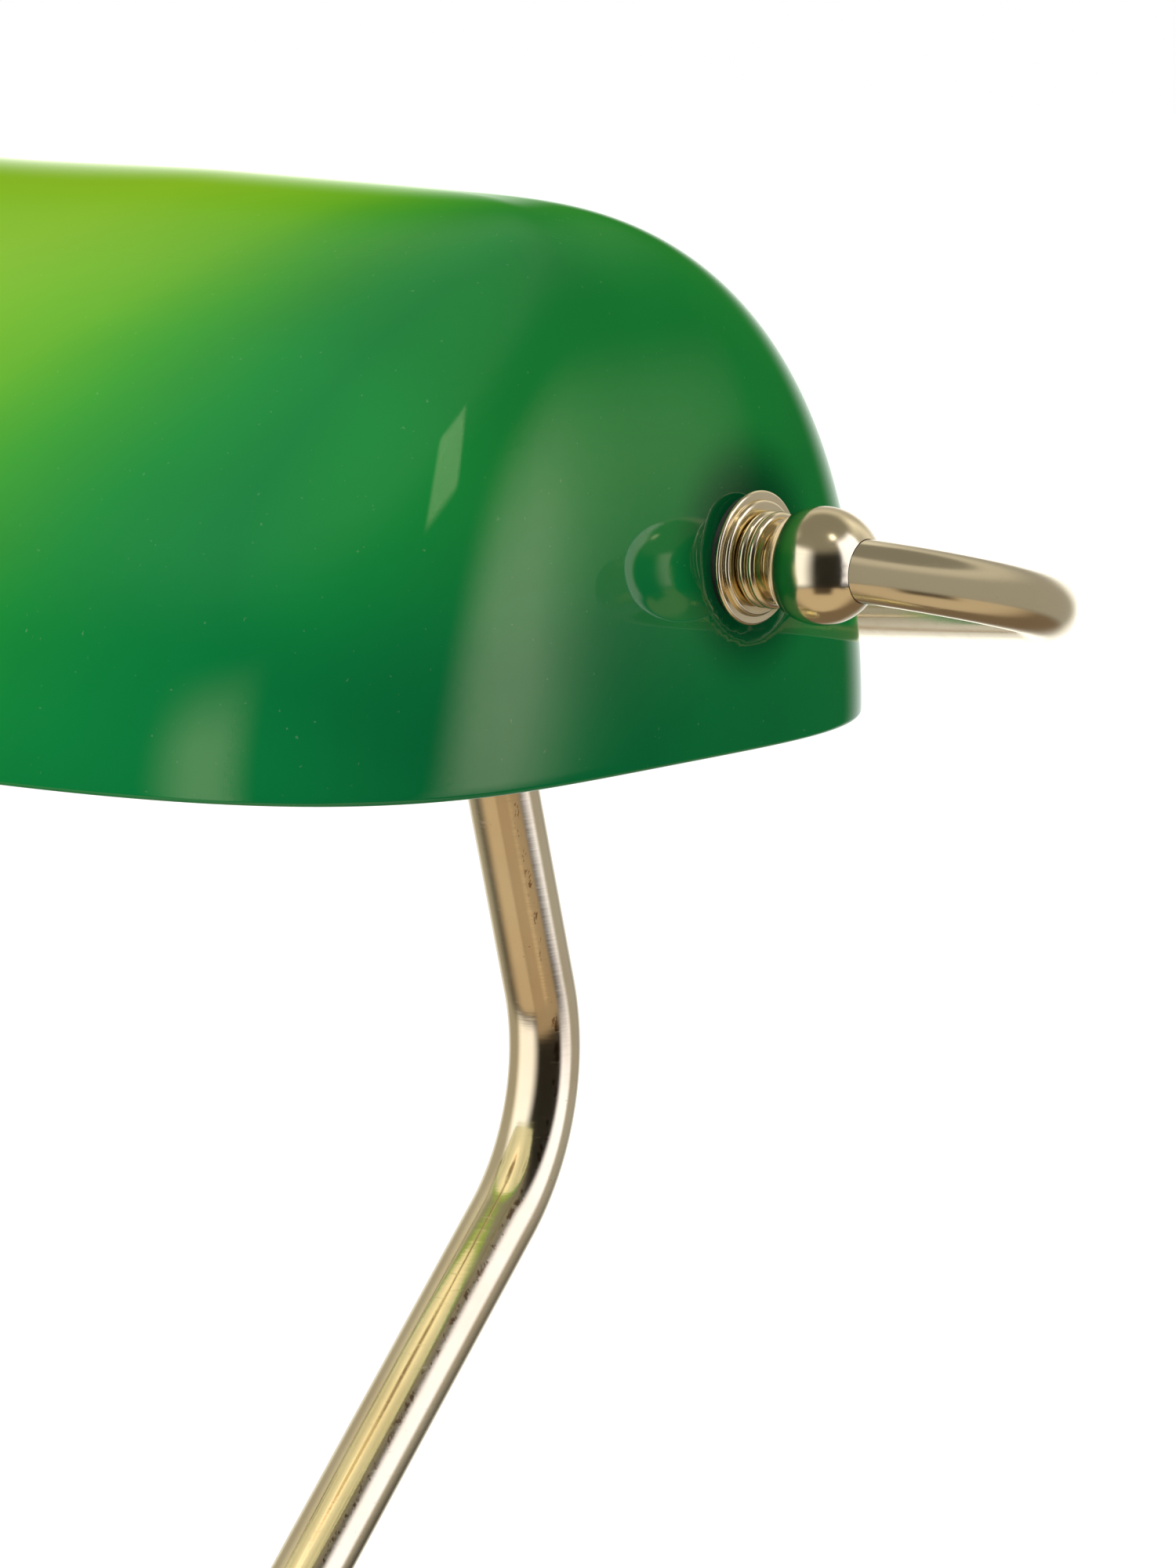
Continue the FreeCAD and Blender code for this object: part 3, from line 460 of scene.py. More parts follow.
def fade(tree, value, low, high, to_low=0.0, to_high=1.0):
    """Smooth change from to_low at low to to_high at high."""
    node = tree.nodes.new("ShaderNodeMapRange")
    node.interpolation_type = "SMOOTHSTEP"
    for socket, number in zip(node.inputs, (value, low, high, to_low, to_high)):
        wire(tree, socket, number)
    return node.outputs[0]


def blend(tree, share, a, b):
    """Mix of two colours."""
    node = tree.nodes.new("ShaderNodeMix")
    node.data_type = "RGBA"
    wire(tree, node.inputs[0], share)
    wire(tree, node.inputs[6], a)
    wire(tree, node.inputs[7], b)
    return node.outputs[2]


def ramp(tree, share, stops):
    """Colour ramp through (position, colour) stops."""
    node = tree.nodes.new("ShaderNodeValToRGB")
    elements = node.color_ramp.elements
    while len(elements) < len(stops):
        elements.new(1.0)
    for element, (position, colour) in zip(elements, stops):
        element.position = position
        element.color = (*colour, 1)
    wire(tree, node.inputs[0], share)
    return node.outputs[0]


def noise(tree, place, scale, detail=3.0, roughness=0.55):
    """Value of a noise texture at a place."""
    node = tree.nodes.new("ShaderNodeTexNoise")
    wire(tree, node.inputs["Vector"], place)
    wire(tree, node.inputs["Scale"], scale)
    wire(tree, node.inputs["Detail"], detail)
    wire(tree, node.inputs["Roughness"], roughness)
    return node.outputs[0]


def stretched(tree, place, scale):
    """A place scaled by axis, for a pattern that is longer one way."""
    node = tree.nodes.new("ShaderNodeMapping")
    wire(tree, node.inputs["Vector"], place)
    wire(tree, node.inputs["Scale"], scale)
    return node.outputs[0]


def object_place(tree):
    """Object coordinates, which are the row frame's own metres."""
    return tree.nodes.new("ShaderNodeTexCoord").outputs["Object"]


def new_material(name):
    """Material with an empty Principled BSDF, as (material, tree, shader)."""
    material = bpy.data.materials.new(name)
    material.use_nodes = True
    tree = material.node_tree
    return material, tree, tree.nodes["Principled BSDF"]


def use_group(tree, group, **values):
    """A node group placed in a material with its own values."""
    node = tree.nodes.new("ShaderNodeGroup")
    node.node_tree = group
    for label, value in values.items():
        wire(tree, node.inputs[label.replace("_", " ")], value)
    return node.outputs


def bump(tree, height, strength, distance):
    """Normal from a height."""
    node = tree.nodes.new("ShaderNodeBump")
    node.inputs["Strength"].default_value = strength
    node.inputs["Distance"].default_value = distance
    wire(tree, node.inputs["Height"], height)
    return node.outputs[0]


# ------------------------------------------------------------------ effects shared by materials
# Metres: how softly the two halves of the glow meet, and how far its edge wanders.
MIRROR_SOFTNESS = 0.015
GLOW_UNEVENNESS = 0.012


def lacquer_wear_group():
    """Handled, lacquered metal: cloudy tint, hair scratches and pin-prick specks."""
    cloud_tint, speck_tint = 0.16, 0.45
    cloud_rough, scratch_rough, speck_rough = 0.05, 0.07, 0.12
    scratch_height, speck_height, ripple_height = 0.2, -0.8, 0.9
    group, given, made = new_group(
        "lacquer wear",
        {"Colour": ("NodeSocketColor", (0.8, 0.7, 0.5, 1)), "Tint": ("NodeSocketColor", (0.7, 0.5, 0.3, 1)),
         "Roughness": ("NodeSocketFloat", 0.15), "Wear": ("NodeSocketFloat", 1.0)},
        {"Colour": "NodeSocketColor", "Roughness": "NodeSocketFloat", "Height": "NodeSocketFloat"})
    place = object_place(group)
    cloud = fade(group, noise(group, place, 38.0, 4.0), 0.42, 0.7)
    fine_cloud = fade(group, noise(group, place, 190.0, 3.0), 0.45, 0.75)
    scratch = noise(group, stretched(group, place, (260, 260, 2600)), 1.0, 2.0)
    scratch_mark = fade(group, scratch, 0.62, 0.74)
    speck = fade(group, noise(group, place, 2100.0, 1.0), 0.72, 0.8)
    speck_zone = fade(group, noise(group, place, 70.0, 2.0), 0.5, 0.62)
    speck_mark = calc(group, "MULTIPLY", speck, speck_zone)
    tinted = calc(group, "MULTIPLY_ADD", speck_mark, speck_tint, calc(group, "MULTIPLY", cloud, cloud_tint))
    tint_share = calc(group, "MULTIPLY", tinted, given["Wear"])
    wire(group, made["Colour"], blend(group, tint_share, given["Colour"], given["Tint"]))
    worn_scratch = calc(group, "MULTIPLY", scratch_mark, given["Wear"])
    rough = calc(group, "MULTIPLY_ADD", fine_cloud, cloud_rough, given["Roughness"])
    rough = calc(group, "MULTIPLY_ADD", worn_scratch, scratch_rough, rough)
    rough = calc(group, "MULTIPLY_ADD", speck_mark, speck_rough, rough)
    wire(group, made["Roughness"], rough)
    ripple = noise(group, place, 420.0, 3.0, 0.7)
    pits = calc(group, "MULTIPLY", speck_mark, speck_height)
    height = calc(group, "MULTIPLY_ADD", scratch, scratch_height, pits)
    height = calc(group, "MULTIPLY_ADD", ripple, ripple_height, height)
    wire(group, made["Height"], calc(group, "MULTIPLY", height, given["Wear"]))
    return group


def smudge_group():
    """Faint finger marks and dust on a glossy surface, as roughness and a tiny unevenness."""
    ridge_share, film_rough = 0.5, 0.035
    group, given, made = new_group(
        "smudges",
        {"Roughness": ("NodeSocketFloat", 0.03), "Amount": ("NodeSocketFloat", 1.0)},
        {"Roughness": "NodeSocketFloat", "Height": "NodeSocketFloat", "Dust": "NodeSocketFloat"})
    place = object_place(group)
    film = fade(group, noise(group, place, 26.0, 4.0, 0.6), 0.45, 0.75)
    print_zone = fade(group, noise(group, place, 60.0, 2.0), 0.55, 0.65)
    ridges = fade(group, noise(group, stretched(group, place, (900, 900, 320)), 1.0, 1.0), 0.45, 0.6)
    film = calc(group, "MULTIPLY_ADD", calc(group, "MULTIPLY", print_zone, ridges), ridge_share, film)
    film = calc(group, "MULTIPLY", film, given["Amount"])
    wire(group, made["Roughness"], calc(group, "MULTIPLY_ADD", film, film_rough, given["Roughness"]))
    wire(group, made["Height"], noise(group, place, 14.0, 2.0))
    dust = fade(group, noise(group, place, 1500.0, 1.0), 0.74, 0.82)
    wire(group, made["Dust"], calc(group, "MULTIPLY", dust, given["Amount"]))
    return group


def bulb_light_group():
    """How much of the bulb's light a place in the shade passes: exp(-(d / Reach) ^ Steepness).

    d is the distance to the Centre of the glow, with x taken as sqrt(x^2 + MIRROR_SOFTNESS^2), so that
    both halves of the shade glow alike and meet smoothly. A slow noise makes d a little uneven.
    """
    group, given, made = new_group(
        "bulb light",
        {"Centre": ("NodeSocketVector", (0, 0, 0)), "Reach": ("NodeSocketFloat", 0.12),
         "Steepness": ("NodeSocketFloat", 6.0)},
        {"Light": "NodeSocketFloat"})
    split = group.nodes.new("ShaderNodeSeparateXYZ")
    place = object_place(group)
    wire(group, split.inputs[0], place)
    mirrored = group.nodes.new("ShaderNodeCombineXYZ")
    squared = calc(group, "MULTIPLY_ADD", split.outputs[0], split.outputs[0], MIRROR_SOFTNESS ** 2)
    wire(group, mirrored.inputs[0], calc(group, "SQRT", squared))
    wire(group, mirrored.inputs[1], split.outputs[1])
    wire(group, mirrored.inputs[2], split.outputs[2])
    distance = vector_calc(group, "DISTANCE", mirrored.outputs[0], given["Centre"], output=1)
    uneven = calc(group, "SUBTRACT", noise(group, place, 16.0, 3.0), 0.5)
    cloudy = calc(group, "MULTIPLY_ADD", uneven, GLOW_UNEVENNESS, distance)
    ratio = calc(group, "POWER", calc(group, "DIVIDE", cloudy, given["Reach"]), given["Steepness"])
    wire(group, made["Light"], calc(group, "EXPONENT", calc(group, "MULTIPLY", ratio, -1.0)))
    return group


LACQUER_WEAR = lacquer_wear_group()
SMUDGES = smudge_group()
BULB_LIGHT = bulb_light_group()


# ------------------------------------------------------------------ materials
# Brown tarnish specks, laid as a painted dark reflection line along the stem where its normal leans this
# much TO_THE_RIGHT; they fade out between two distances from that lean.
DARK_REFLECTION_LEAN = 0.33
DARK_REFLECTION_INNER, DARK_REFLECTION_OUTER = 0.03, 0.12
TARNISH_AND_DARK_REFLECTION = (0.24, 0.12, 0.045, 1)
TARNISH_AND_DARK_REFLECTION_SHARE = 0.8
BRASS_RELIEF = 0.00002


def tarnish_on_dark_reflection(tree, colour):
    """Brown tarnish specks over a tube's colour, in a narrow band where a dark reflection line is painted,
    on the side towards the viewer's right.
    """
    normal = tree.nodes.new("ShaderNodeNewGeometry").outputs["Normal"]
    lean = vector_calc(tree, "DOT_PRODUCT", normal, TO_THE_RIGHT, output=1)
    off_seam = calc(tree, "ABSOLUTE", calc(tree, "SUBTRACT", lean, DARK_REFLECTION_LEAN))
    on_dark_line = fade(tree, off_seam, DARK_REFLECTION_INNER, DARK_REFLECTION_OUTER, 1.0, 0.0)
    specks = noise(tree, stretched(tree, object_place(tree), (900, 900, 330)), 1.0, 4.0, 0.75)
    tarnish_and_dark_line = calc(tree, "MULTIPLY", on_dark_line, fade(tree, specks, 0.53, 0.60))
    return blend(tree, calc(tree, "MULTIPLY", tarnish_and_dark_line, TARNISH_AND_DARK_REFLECTION_SHARE), colour, TARNISH_AND_DARK_REFLECTION)


def brass(name, colour, tint, roughness, wear, rings=0.0):
    """Brass with lacquer wear.

    rings is the depth of the fine marks across a drawn tube, which then also has tarnish specks in a
    painted dark reflection line.
    """
    material, tree, shader = new_material(name)
    worn = use_group(tree, LACQUER_WEAR, Colour=colour, Tint=tint, Roughness=roughness, Wear=wear)
    shader.inputs["Metallic"].default_value = 1.0
    surface_colour = worn["Colour"]
    height = worn["Height"]
    if rings:
        # Painted dark reflection line, made of tarnish specks.
        surface_colour = tarnish_on_dark_reflection(tree, surface_colour)
        across = noise(tree, stretched(tree, object_place(tree), (90, 90, 1500)), 1.0, 2.0, 0.6)
        height = calc(tree, "MULTIPLY_ADD", across, rings, height)
    wire(tree, shader.inputs["Base Color"], surface_colour)
    wire(tree, shader.inputs["Roughness"], worn["Roughness"])
    wire(tree, shader.inputs["Normal"], bump(tree, height, 0.12, BRASS_RELIEF))
    return material


# The share of the bulb's light that comes through, and the colour that the casing glows with it.
CASING_GLOW = [
    (0.0, (0.001, 0.036, 0.017)), (0.05, (0.003, 0.067, 0.019)), (0.15, (0.009, 0.117, 0.016)),
    (0.25, (0.026, 0.152, 0.010)), (0.35, (0.044, 0.205, 0.006)), (0.45, (0.078, 0.250, 0.002)),
    (0.55, (0.124, 0.305, 0.0)), (0.7, (0.174, 0.350, 0.0)), (0.85, (0.220, 0.375, 0.0)),
    (1.0, (0.230, 0.365, 0.0)),
]
CASING_BODY = [(0.0, (0.0005, 0.11, 0.018)), (1.0, (0.0015, 0.14, 0.024))]
# Painted shadow round each pivot: the casing's body colour and its glow there.
PIVOT_SHADOW_BODY, PIVOT_SHADOW_GLOW = (0.0003, 0.06, 0.012, 1), (0.0005, 0.022, 0.007, 1)
GLASS_DUST = (0.45, 0.5, 0.42, 1)
# Metres: the glow's reach in the casing and in the lining, the painted shadow round each pivot, and where
# the light on the end walls comes in, outwards and upwards. END_LIGHT is the most of it.
CASING_REACH = 0.1198
LINING_REACH = 0.075
PIVOT_SHADOW_INNER, PIVOT_SHADOW_OUTER = 0.0075, 0.0165
END_WALL_START, END_WALL_FULL = 0.078, 0.100
END_LIGHT_LOW, END_LIGHT_HIGH = 0.300, 0.330
END_LIGHT = 0.12


def place_along(tree, axis):
    """How far a place is from the frame's origin along an axis."""
    return vector_calc(tree, "DOT_PRODUCT", object_place(tree), axis, output=1)


def cased_green_glass():
    """Green outer casing, lit through its opal lining: deep green far from the bulb, lime near it.

    The end walls pass a little of the light above the pivots, and a painted shadow darkens the glass and
    its glow round each pivot, where the washer stands against its lining.
    """
    material, tree, shader = new_material("cased green glass")
    centre = tuple(GLOW_CENTRE * MM)
    light = use_group(tree, BULB_LIGHT, Centre=centre, Reach=CASING_REACH, Steepness=6.0)["Light"]
    sideways = calc(tree, "ABSOLUTE", place_along(tree, (1, 0, 0)))
    end_wall = fade(tree, sideways, END_WALL_START, END_WALL_FULL)
    above_pivot = fade(tree, place_along(tree, (0, 0, 1)), END_LIGHT_LOW, END_LIGHT_HIGH, 0.0, END_LIGHT)
    light = calc(tree, "MAXIMUM", light, calc(tree, "MULTIPLY", end_wall, above_pivot))
    marks = use_group(tree, SMUDGES, Roughness=0.025, Amount=1.0)
    streak = noise(tree, stretched(tree, object_place(tree), (9, 30, 30)), 1.0, 2.0)
    # Painted shadow: body colour and glow go dark close to the pivot line.
    flat = vector_calc(tree, "MULTIPLY", object_place(tree), (0, 1, 1))
    from_pivot = vector_calc(tree, "DISTANCE", flat, (0, 0, PIVOT_HEIGHT * MM), output=1)
    out_of_pivot_shadow = fade(tree, from_pivot, PIVOT_SHADOW_INNER, PIVOT_SHADOW_OUTER)
    body = blend(tree, out_of_pivot_shadow, PIVOT_SHADOW_BODY, ramp(tree, fade(tree, streak, 0.3, 0.7), CASING_BODY))
    dusty = blend(tree, calc(tree, "MULTIPLY", marks["Dust"], 0.12), body, GLASS_DUST)
    wire(tree, shader.inputs["Base Color"], dusty)
    glow = blend(tree, out_of_pivot_shadow, PIVOT_SHADOW_GLOW, ramp(tree, light, CASING_GLOW))
    wire(tree, shader.inputs["Emission Color"], glow)
    shader.inputs["Emission Strength"].default_value = 1.0
    wire(tree, shader.inputs["Roughness"], marks["Roughness"])
    shader.inputs["IOR"].default_value = 1.52
    wire(tree, shader.inputs["Normal"], bump(tree, marks["Height"], 0.25, 0.0006))
    return material


def opal_lining():
    """White inner layer of the shade, bright where the bulb is near."""
    material, tree, shader = new_material("opal lining")
    centre = tuple(BULB_CENTRE * MM)
    light = use_group(tree, BULB_LIGHT, Centre=centre, Reach=LINING_REACH, Steepness=2.0)["Light"]
    marks = use_group(tree, SMUDGES, Roughness=0.12, Amount=1.0)
    milk = [(0.3, (0.82, 0.80, 0.72)), (0.7, (0.88, 0.86, 0.80))]
    wire(tree, shader.inputs["Base Color"], ramp(tree, noise(tree, object_place(tree), 22.0), milk))
    wire(tree, shader.inputs["Roughness"], marks["Roughness"])
    lit = [(0.0, (0.10, 0.12, 0.07)), (0.5, (0.34, 0.33, 0.22)), (1.0, (0.75, 0.68, 0.48))]
    wire(tree, shader.inputs["Emission Color"], ramp(tree, light, lit))
    shader.inputs["Emission Strength"].default_value = 1.0
    wire(tree, shader.inputs["Normal"], bump(tree, marks["Height"], 0.2, 0.0005))
    return material


def frosted_bulb():
    """Lit frosted bulb: brightest on the crown, a little warmer towards the neck."""
    material, tree, shader = new_material("frosted bulb")
    place = object_place(tree)
    from_centre = vector_calc(tree, "SUBTRACT", place, tuple(BULB_CENTRE * MM))
    to_crown = vector_calc(tree, "DOT_PRODUCT", from_centre, tuple(HOLDER_AXIS), output=1)
    grain = noise(tree, place, 900.0, 2.0)
    neck, warmth_end = -0.024, 0.006
    warmth = [(0.0, (0.95, 0.62, 0.30)), (0.4, (1.0, 0.84, 0.58)), (1.0, (1.0, 0.94, 0.80))]
    shader.inputs["Base Color"].default_value = (0.9, 0.88, 0.84, 1)
    wire(tree, shader.inputs["Emission Color"], ramp(tree, fade(tree, to_crown, neck, warmth_end), warmth))
    shader.inputs["Emission Strength"].default_value = 1.0
    wire(tree, shader.inputs["Roughness"], fade(tree, grain, 0.2, 0.8, 0.42, 0.6))
    wire(tree, shader.inputs["Normal"], bump(tree, grain, 0.15, 0.00005))
    return material


def speckled(name, low_colour, high_colour, scale, metallic, rough, relief):
    """Plain working surface: mottled colour, mottled roughness and a little relief."""
    finer, fine_share, coarse_share = 9, 0.4, 0.6
    material, tree, shader = new_material(name)
    place = object_place(tree)
    coarse = noise(tree, place, scale, 4.0)
    fine = noise(tree, place, scale * finer, 3.0)
    share = calc(tree, "MULTIPLY_ADD", fine, fine_share, calc(tree, "MULTIPLY", coarse, coarse_share))
    wire(tree, shader.inputs["Base Color"], ramp(tree, share, [(0.35, low_colour), (0.65, high_colour)]))
    shader.inputs["Metallic"].default_value = metallic
    wire(tree, shader.inputs["Roughness"], fade(tree, fine, 0.2, 0.8, rough[0], rough[1]))
    wire(tree, shader.inputs["Normal"], bump(tree, fine, 0.4, relief))
    return material


# Colour, tint where worn, roughness and wear.
POLISHED_BRASS = brass("polished brass", (0.80, 0.695, 0.46, 1), (0.62, 0.43, 0.22, 1), 0.14, 0.6)
STEM_BRASS = brass("stem brass", (0.81, 0.70, 0.47, 1), (0.55, 0.36, 0.17, 1), 0.12, 1.5, rings=3.0)
SATIN_BRASS = brass("satin brass", (0.74, 0.655, 0.46, 1), (0.56, 0.42, 0.25, 1), 0.17, 1.2)
DRAWN_BRASS = brass("drawn brass", (0.74, 0.60, 0.34, 1), (0.50, 0.33, 0.16, 1), 0.28, 1.4)
CASED_GREEN = cased_green_glass()
OPAL = opal_lining()
FROSTED = frosted_bulb()
# Low and high colour, grain scale, metallic, lowest and highest roughness, and relief in metres.
STEEL = speckled("zinc plated steel", (0.50, 0.50, 0.48), (0.68, 0.68, 0.66), 240.0, 1.0, (0.28, 0.42),
                 0.00002)
IRON = speckled("cast iron", (0.06, 0.06, 0.058), (0.14, 0.135, 0.13), 260.0, 0.6, (0.6, 0.8), 0.0002)
RUBBER = speckled("soft washer", (0.03, 0.028, 0.025), (0.06, 0.055, 0.05), 400.0, 0.0, (0.6, 0.75),
                  0.00003)
FELT = speckled("pressed felt", (0.012, 0.045, 0.025), (0.035, 0.10, 0.055), 900.0, 0.0, (0.9, 1.0),
                0.0003)
CERAMIC = speckled("glazed insulator", (0.78, 0.76, 0.70), (0.86, 0.84, 0.80), 60.0, 0.0, (0.12, 0.2),
                   0.00002)
SOLDER = speckled("solder", (0.45, 0.45, 0.46), (0.62, 0.62, 0.63), 700.0, 1.0, (0.35, 0.5), 0.00005)
BLACK_GLASS = speckled("black glass bead", (0.006, 0.006, 0.008), (0.02, 0.02, 0.024), 300.0, 0.0,
                       (0.05, 0.12), 0.00001)
BLACK_PLASTIC = speckled("black bushing", (0.012, 0.012, 0.012), (0.03, 0.03, 0.03), 500.0, 0.0,
                         (0.4, 0.55), 0.00002)

SLOT_MATERIALS = {
    "polished_brass": POLISHED_BRASS,
    "plain_brass": DRAWN_BRASS,
    "green_glass": CASED_GREEN,
    "frosted_glass": FROSTED,
    "black_glass": BLACK_GLASS,
    "solder": SOLDER,
    "white_ceramic": CERAMIC,
    "soft_washer": RUBBER,
    "steel": STEEL,
    "cast_iron": IRON,
    "felt": FELT,
    "black_plastic": BLACK_PLASTIC,
}


# ------------------------------------------------------------------ dressing the frame
def dress(piece, body, node, slot, *materials):
    """Puts a new piece in place of its CAD node."""
    for material in materials:
        piece.data.materials.append(material)
    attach(piece, body)
    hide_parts(node)


for entry in frame["record"]["subparts"]:
    node_mesh = frame["nodes"][entry["node"]].data
    node_mesh.materials.clear()
    node_mesh.materials.append(SLOT_MATERIALS[entry["material_slot"]])

dress(glass_shade(), "shade", "glass_shade", "green_glass")
dress(yoke_tube(), "stand", "yoke_tube", "polished_brass", SATIN_BRASS)
dress(stem_tube(), "stand", "stem_tube", "polished_brass", STEM_BRASS)
dress(lampholder_arm(), "stand", "lampholder_arm", "polished_brass", POLISHED_BRASS)
dress(bulb_envelope(), "stand", "bulb_glass", "frosted_glass", FROSTED)
dress(bulb_cap(), "stand", "bulb_cap", "plain_brass", DRAWN_BRASS)
dress(felt_pad(), "stand", "base_pad", "felt", FELT)


# ------------------------------------------------------------------ floor, studio and camera
# Metres: the floor lies just under the felt, and its own white fades in over these distances from the
# middle of the base, so that a painted shadow stays round the base.
FLOOR_REACH, FLOOR_DROP = 3.0, 0.0002
SHADOW_INNER, SHADOW_OUTER = 0.07, 0.30
SHADOW_WHITE, FLOOR_WHITE = 0.08, 0.75


def floor():
    """Pale studio floor: white to the camera away from the lamp, with the lamp's shadow and a painted
    shadow near the base.
    """
    square = np.array([[-1, -1, 0], [1, -1, 0], [1, 1, 0], [-1, 1, 0]])
    corners = square * FLOOR_REACH - [0, 0, FLOOR_DROP]
    mesh = bpy.data.meshes.new("studio_floor")
    mesh.from_pydata(corners, [], [(0, 1, 2, 3)])
    piece = bpy.data.objects.new("studio_floor", mesh)
    bpy.context.scene.collection.objects.link(piece)
    material, tree, shader = new_material("studio floor")
    shader.inputs["Base Color"].default_value = (0.82, 0.82, 0.815, 1)
    shader.inputs["Roughness"].default_value = 0.8
    seen = tree.nodes.new("ShaderNodeLightPath").outputs["Is Camera Ray"]
    shader.inputs["Emission Color"].default_value = (1, 1, 1, 1)
    from_base = vector_calc(tree, "LENGTH", object_place(tree), output=1)
    # Painted shadow: less of the floor's own white near the base.
    whiteness = fade(tree, from_base, SHADOW_INNER, SHADOW_OUTER, SHADOW_WHITE, FLOOR_WHITE)
    wire(tree, shader.inputs["Emission Strength"], calc(tree, "MULTIPLY", seen, whiteness))
    piece.visible_glossy = False
    mesh.materials.append(material)


# Panels that only polished surfaces show, by degrees from the front: azimuth to the right, elevation,
# half width, half height, side softness, end softness, colour and slant. Each set is light-linked to its
# own pieces, so that one material's highlights stay off the others.
SHARED_PANELS = {
    "right fall-off": (118, 12, 26, 36, 22, 18, (0.42, 0.41, 0.40)),
    "left softbox": (-58, 4, 30, 34, 32, 12, (1.4, 1.42, 1.6)),
    "left fill": (-118, 12, 38, 42, 22, 16, (0.44, 0.42, 0.36)),
}
METAL_PANELS = {
    "right softbox": (67.5, 13, 27, 38, 12, 12, (1.45, 1.5, 1.95)),
    "top lamp": (38, 62, 9, 5, 5, 4, (3.0, 2.9, 2.7)),
    "back fill": (180, 26, 58, 22, 36, 22, (0.50, 0.47, 0.41)),
}
STEM_PANELS = {
    "stem softbox": (76, 22, 19, 40, 16, 16, (1.45, 1.5, 1.95)),
    "stem table": (21, -33, 41, 11, 18, 6, (0.42, 0.32, 0.22)),
}
YOKE_PANELS = {
    "yoke fill": (-97, 11, 88, 44, 20, 10, (0.40, 0.38, 0.34)),
    "yoke back fill": (88, 11, 97, 44, 20, 10, (0.40, 0.38, 0.34)),
}
GLASS_PANELS = {
    "right screen": (84, -2.5, 14.5, 12.5, 22, 20, (2.0, 2.0, 1.38), 0.55),
    "left screen": (-25, -8, 9, 22, 15, 18, (1.9, 1.9, 1.2)),
    "window": (54, 31, 7, 9, 3, 3, (1.9, 2.0, 1.2)),
}
# Metres: no two panels are the same distance away, because where two coincide one hides the other.
PANEL_DISTANCE, PANEL_STEP = 6.0, 0.05
PANEL_POINTS = 25

# What polished surfaces see round the lamp, and the even level that lights matt ones.
TABLE_TAN = (0.66, 0.53, 0.38, 1)
TABLE_SHADE = (0.22, 0.16, 0.11, 1)
OWN_SHADOW = (0.09, 0.065, 0.045, 1)
CEILING = (0.28, 0.265, 0.23, 1)
ROOM_DARK = (0.025, 0.023, 0.02, 1)
BACKDROP = (0.95, 0.95, 0.94, 1)
EVEN_LEVEL = (0.38, 0.38, 0.375, 1)
WHITE = (1, 1, 1, 1)
# Where they meet, as degrees of elevation, or as facing from -1 away from the viewer to 1 towards them.
CEILING_EDGE, TABLE_EDGE = (24.0, 46.0), (-37.0, -31.0)
TABLE_LIT_FACING = (-0.3, 0.5)
OWN_SHADOW_FACING, OWN_SHADOW_ELEVATION = (0.88, 0.98), (-52.0, -43.0)
BACKDROP_FACING, BACKDROP_TOP, BACKDROP_FOOT = (-0.74, -1.0), (20.0, 0.0), (-50.0, -20.0)


def bearings(azimuth, elevation):
    """Unit direction at degrees right of the front and above the horizon."""
    a, e = np.radians(azimuth), np.radians(elevation)
    level = np.cos(a)[..., None] * TOWARD_VIEWER + np.sin(a)[..., None] * TO_THE_RIGHT
    return level * np.cos(e)[..., None] + np.sin(e)[..., None] * [0, 0, 1]


def soft_step(tree, value, half, soft):
    """1 inside half on either side of 0, falling to 0 over a width of soft."""
    return fade(tree, calc(tree, "ABSOLUTE", value), half - soft / 2, half + soft / 2, 1.0, 0.0)


def studio_panel(name, lit, distance, azimuth, elevation, half_width, half_height, side_soft, end_soft,
                 colour, slant=0.0):
    """Curved light panel: the patch of a sphere about the lamp between two azimuths and two elevations.

    Its glow is a soft step across times a soft step up and down, and the rest of it is clear. The step
    across is taken of across - slant * up, so a slanted panel leans to the right as it rises.
    """
    share = np.linspace(-1, 1, PANEL_POINTS)
    across = share[None, :] * (half_width + side_soft / 2 + abs(slant) * half_height)
    up = share[:, None] * (half_height + end_soft / 2)
    points = bearings(*np.broadcast_arrays(azimuth + across, elevation + up)) * distance
    points[..., 2] += PIVOT_HEIGHT * MM
    index = np.arange(PANEL_POINTS ** 2).reshape(PANEL_POINTS, PANEL_POINTS)
    corners = np.stack([index[:-1, :-1], index[:-1, 1:], index[1:, 1:], index[1:, :-1]], -1).reshape(-1, 4)
    mesh = bpy.data.meshes.new(name)
    mesh.from_pydata(points.reshape(-1, 3), [], corners)
    degrees = np.stack(np.broadcast_arrays(across, up), -1).reshape(-1, 2)[corners.ravel()]
    mesh.uv_layers.new(name="degrees").data.foreach_set("uv", degrees.astype(np.float32).ravel())
    panel = bpy.data.objects.new(name, mesh)
    bpy.context.scene.collection.objects.link(panel)
    material = bpy.data.materials.new(name)
    material.use_nodes = True
    tree = material.node_tree
    tree.nodes.clear()
    split = tree.nodes.new("ShaderNodeSeparateXYZ")
    wire(tree, split.inputs[0], tree.nodes.new("ShaderNodeTexCoord").outputs["UV"])
    leaned = calc(tree, "MULTIPLY_ADD", split.outputs[1], -slant, split.outputs[0])
    wide = soft_step(tree, leaned, half_width, side_soft)
    high = soft_step(tree, split.outputs[1], half_height, end_soft)
    glow = tree.nodes.new("ShaderNodeEmission")
    glow.inputs["Color"].default_value = (*colour, 1)
    wire(tree, glow.inputs["Strength"], calc(tree, "MULTIPLY", wide, high))
    both = tree.nodes.new("ShaderNodeAddShader")
    wire(tree, both.inputs[0], glow.outputs[0])
    wire(tree, both.inputs[1], tree.nodes.new("ShaderNodeBsdfTransparent").outputs[0])
    wire(tree, tree.nodes.new("ShaderNodeOutputMaterial").inputs[0], both.outputs[0])
    material.cycles.emission_sampling = "NONE"
    mesh.materials.append(material)
    panel.visible_camera = panel.visible_diffuse = panel.visible_shadow = False
    panel.light_linking.receiver_collection = lit


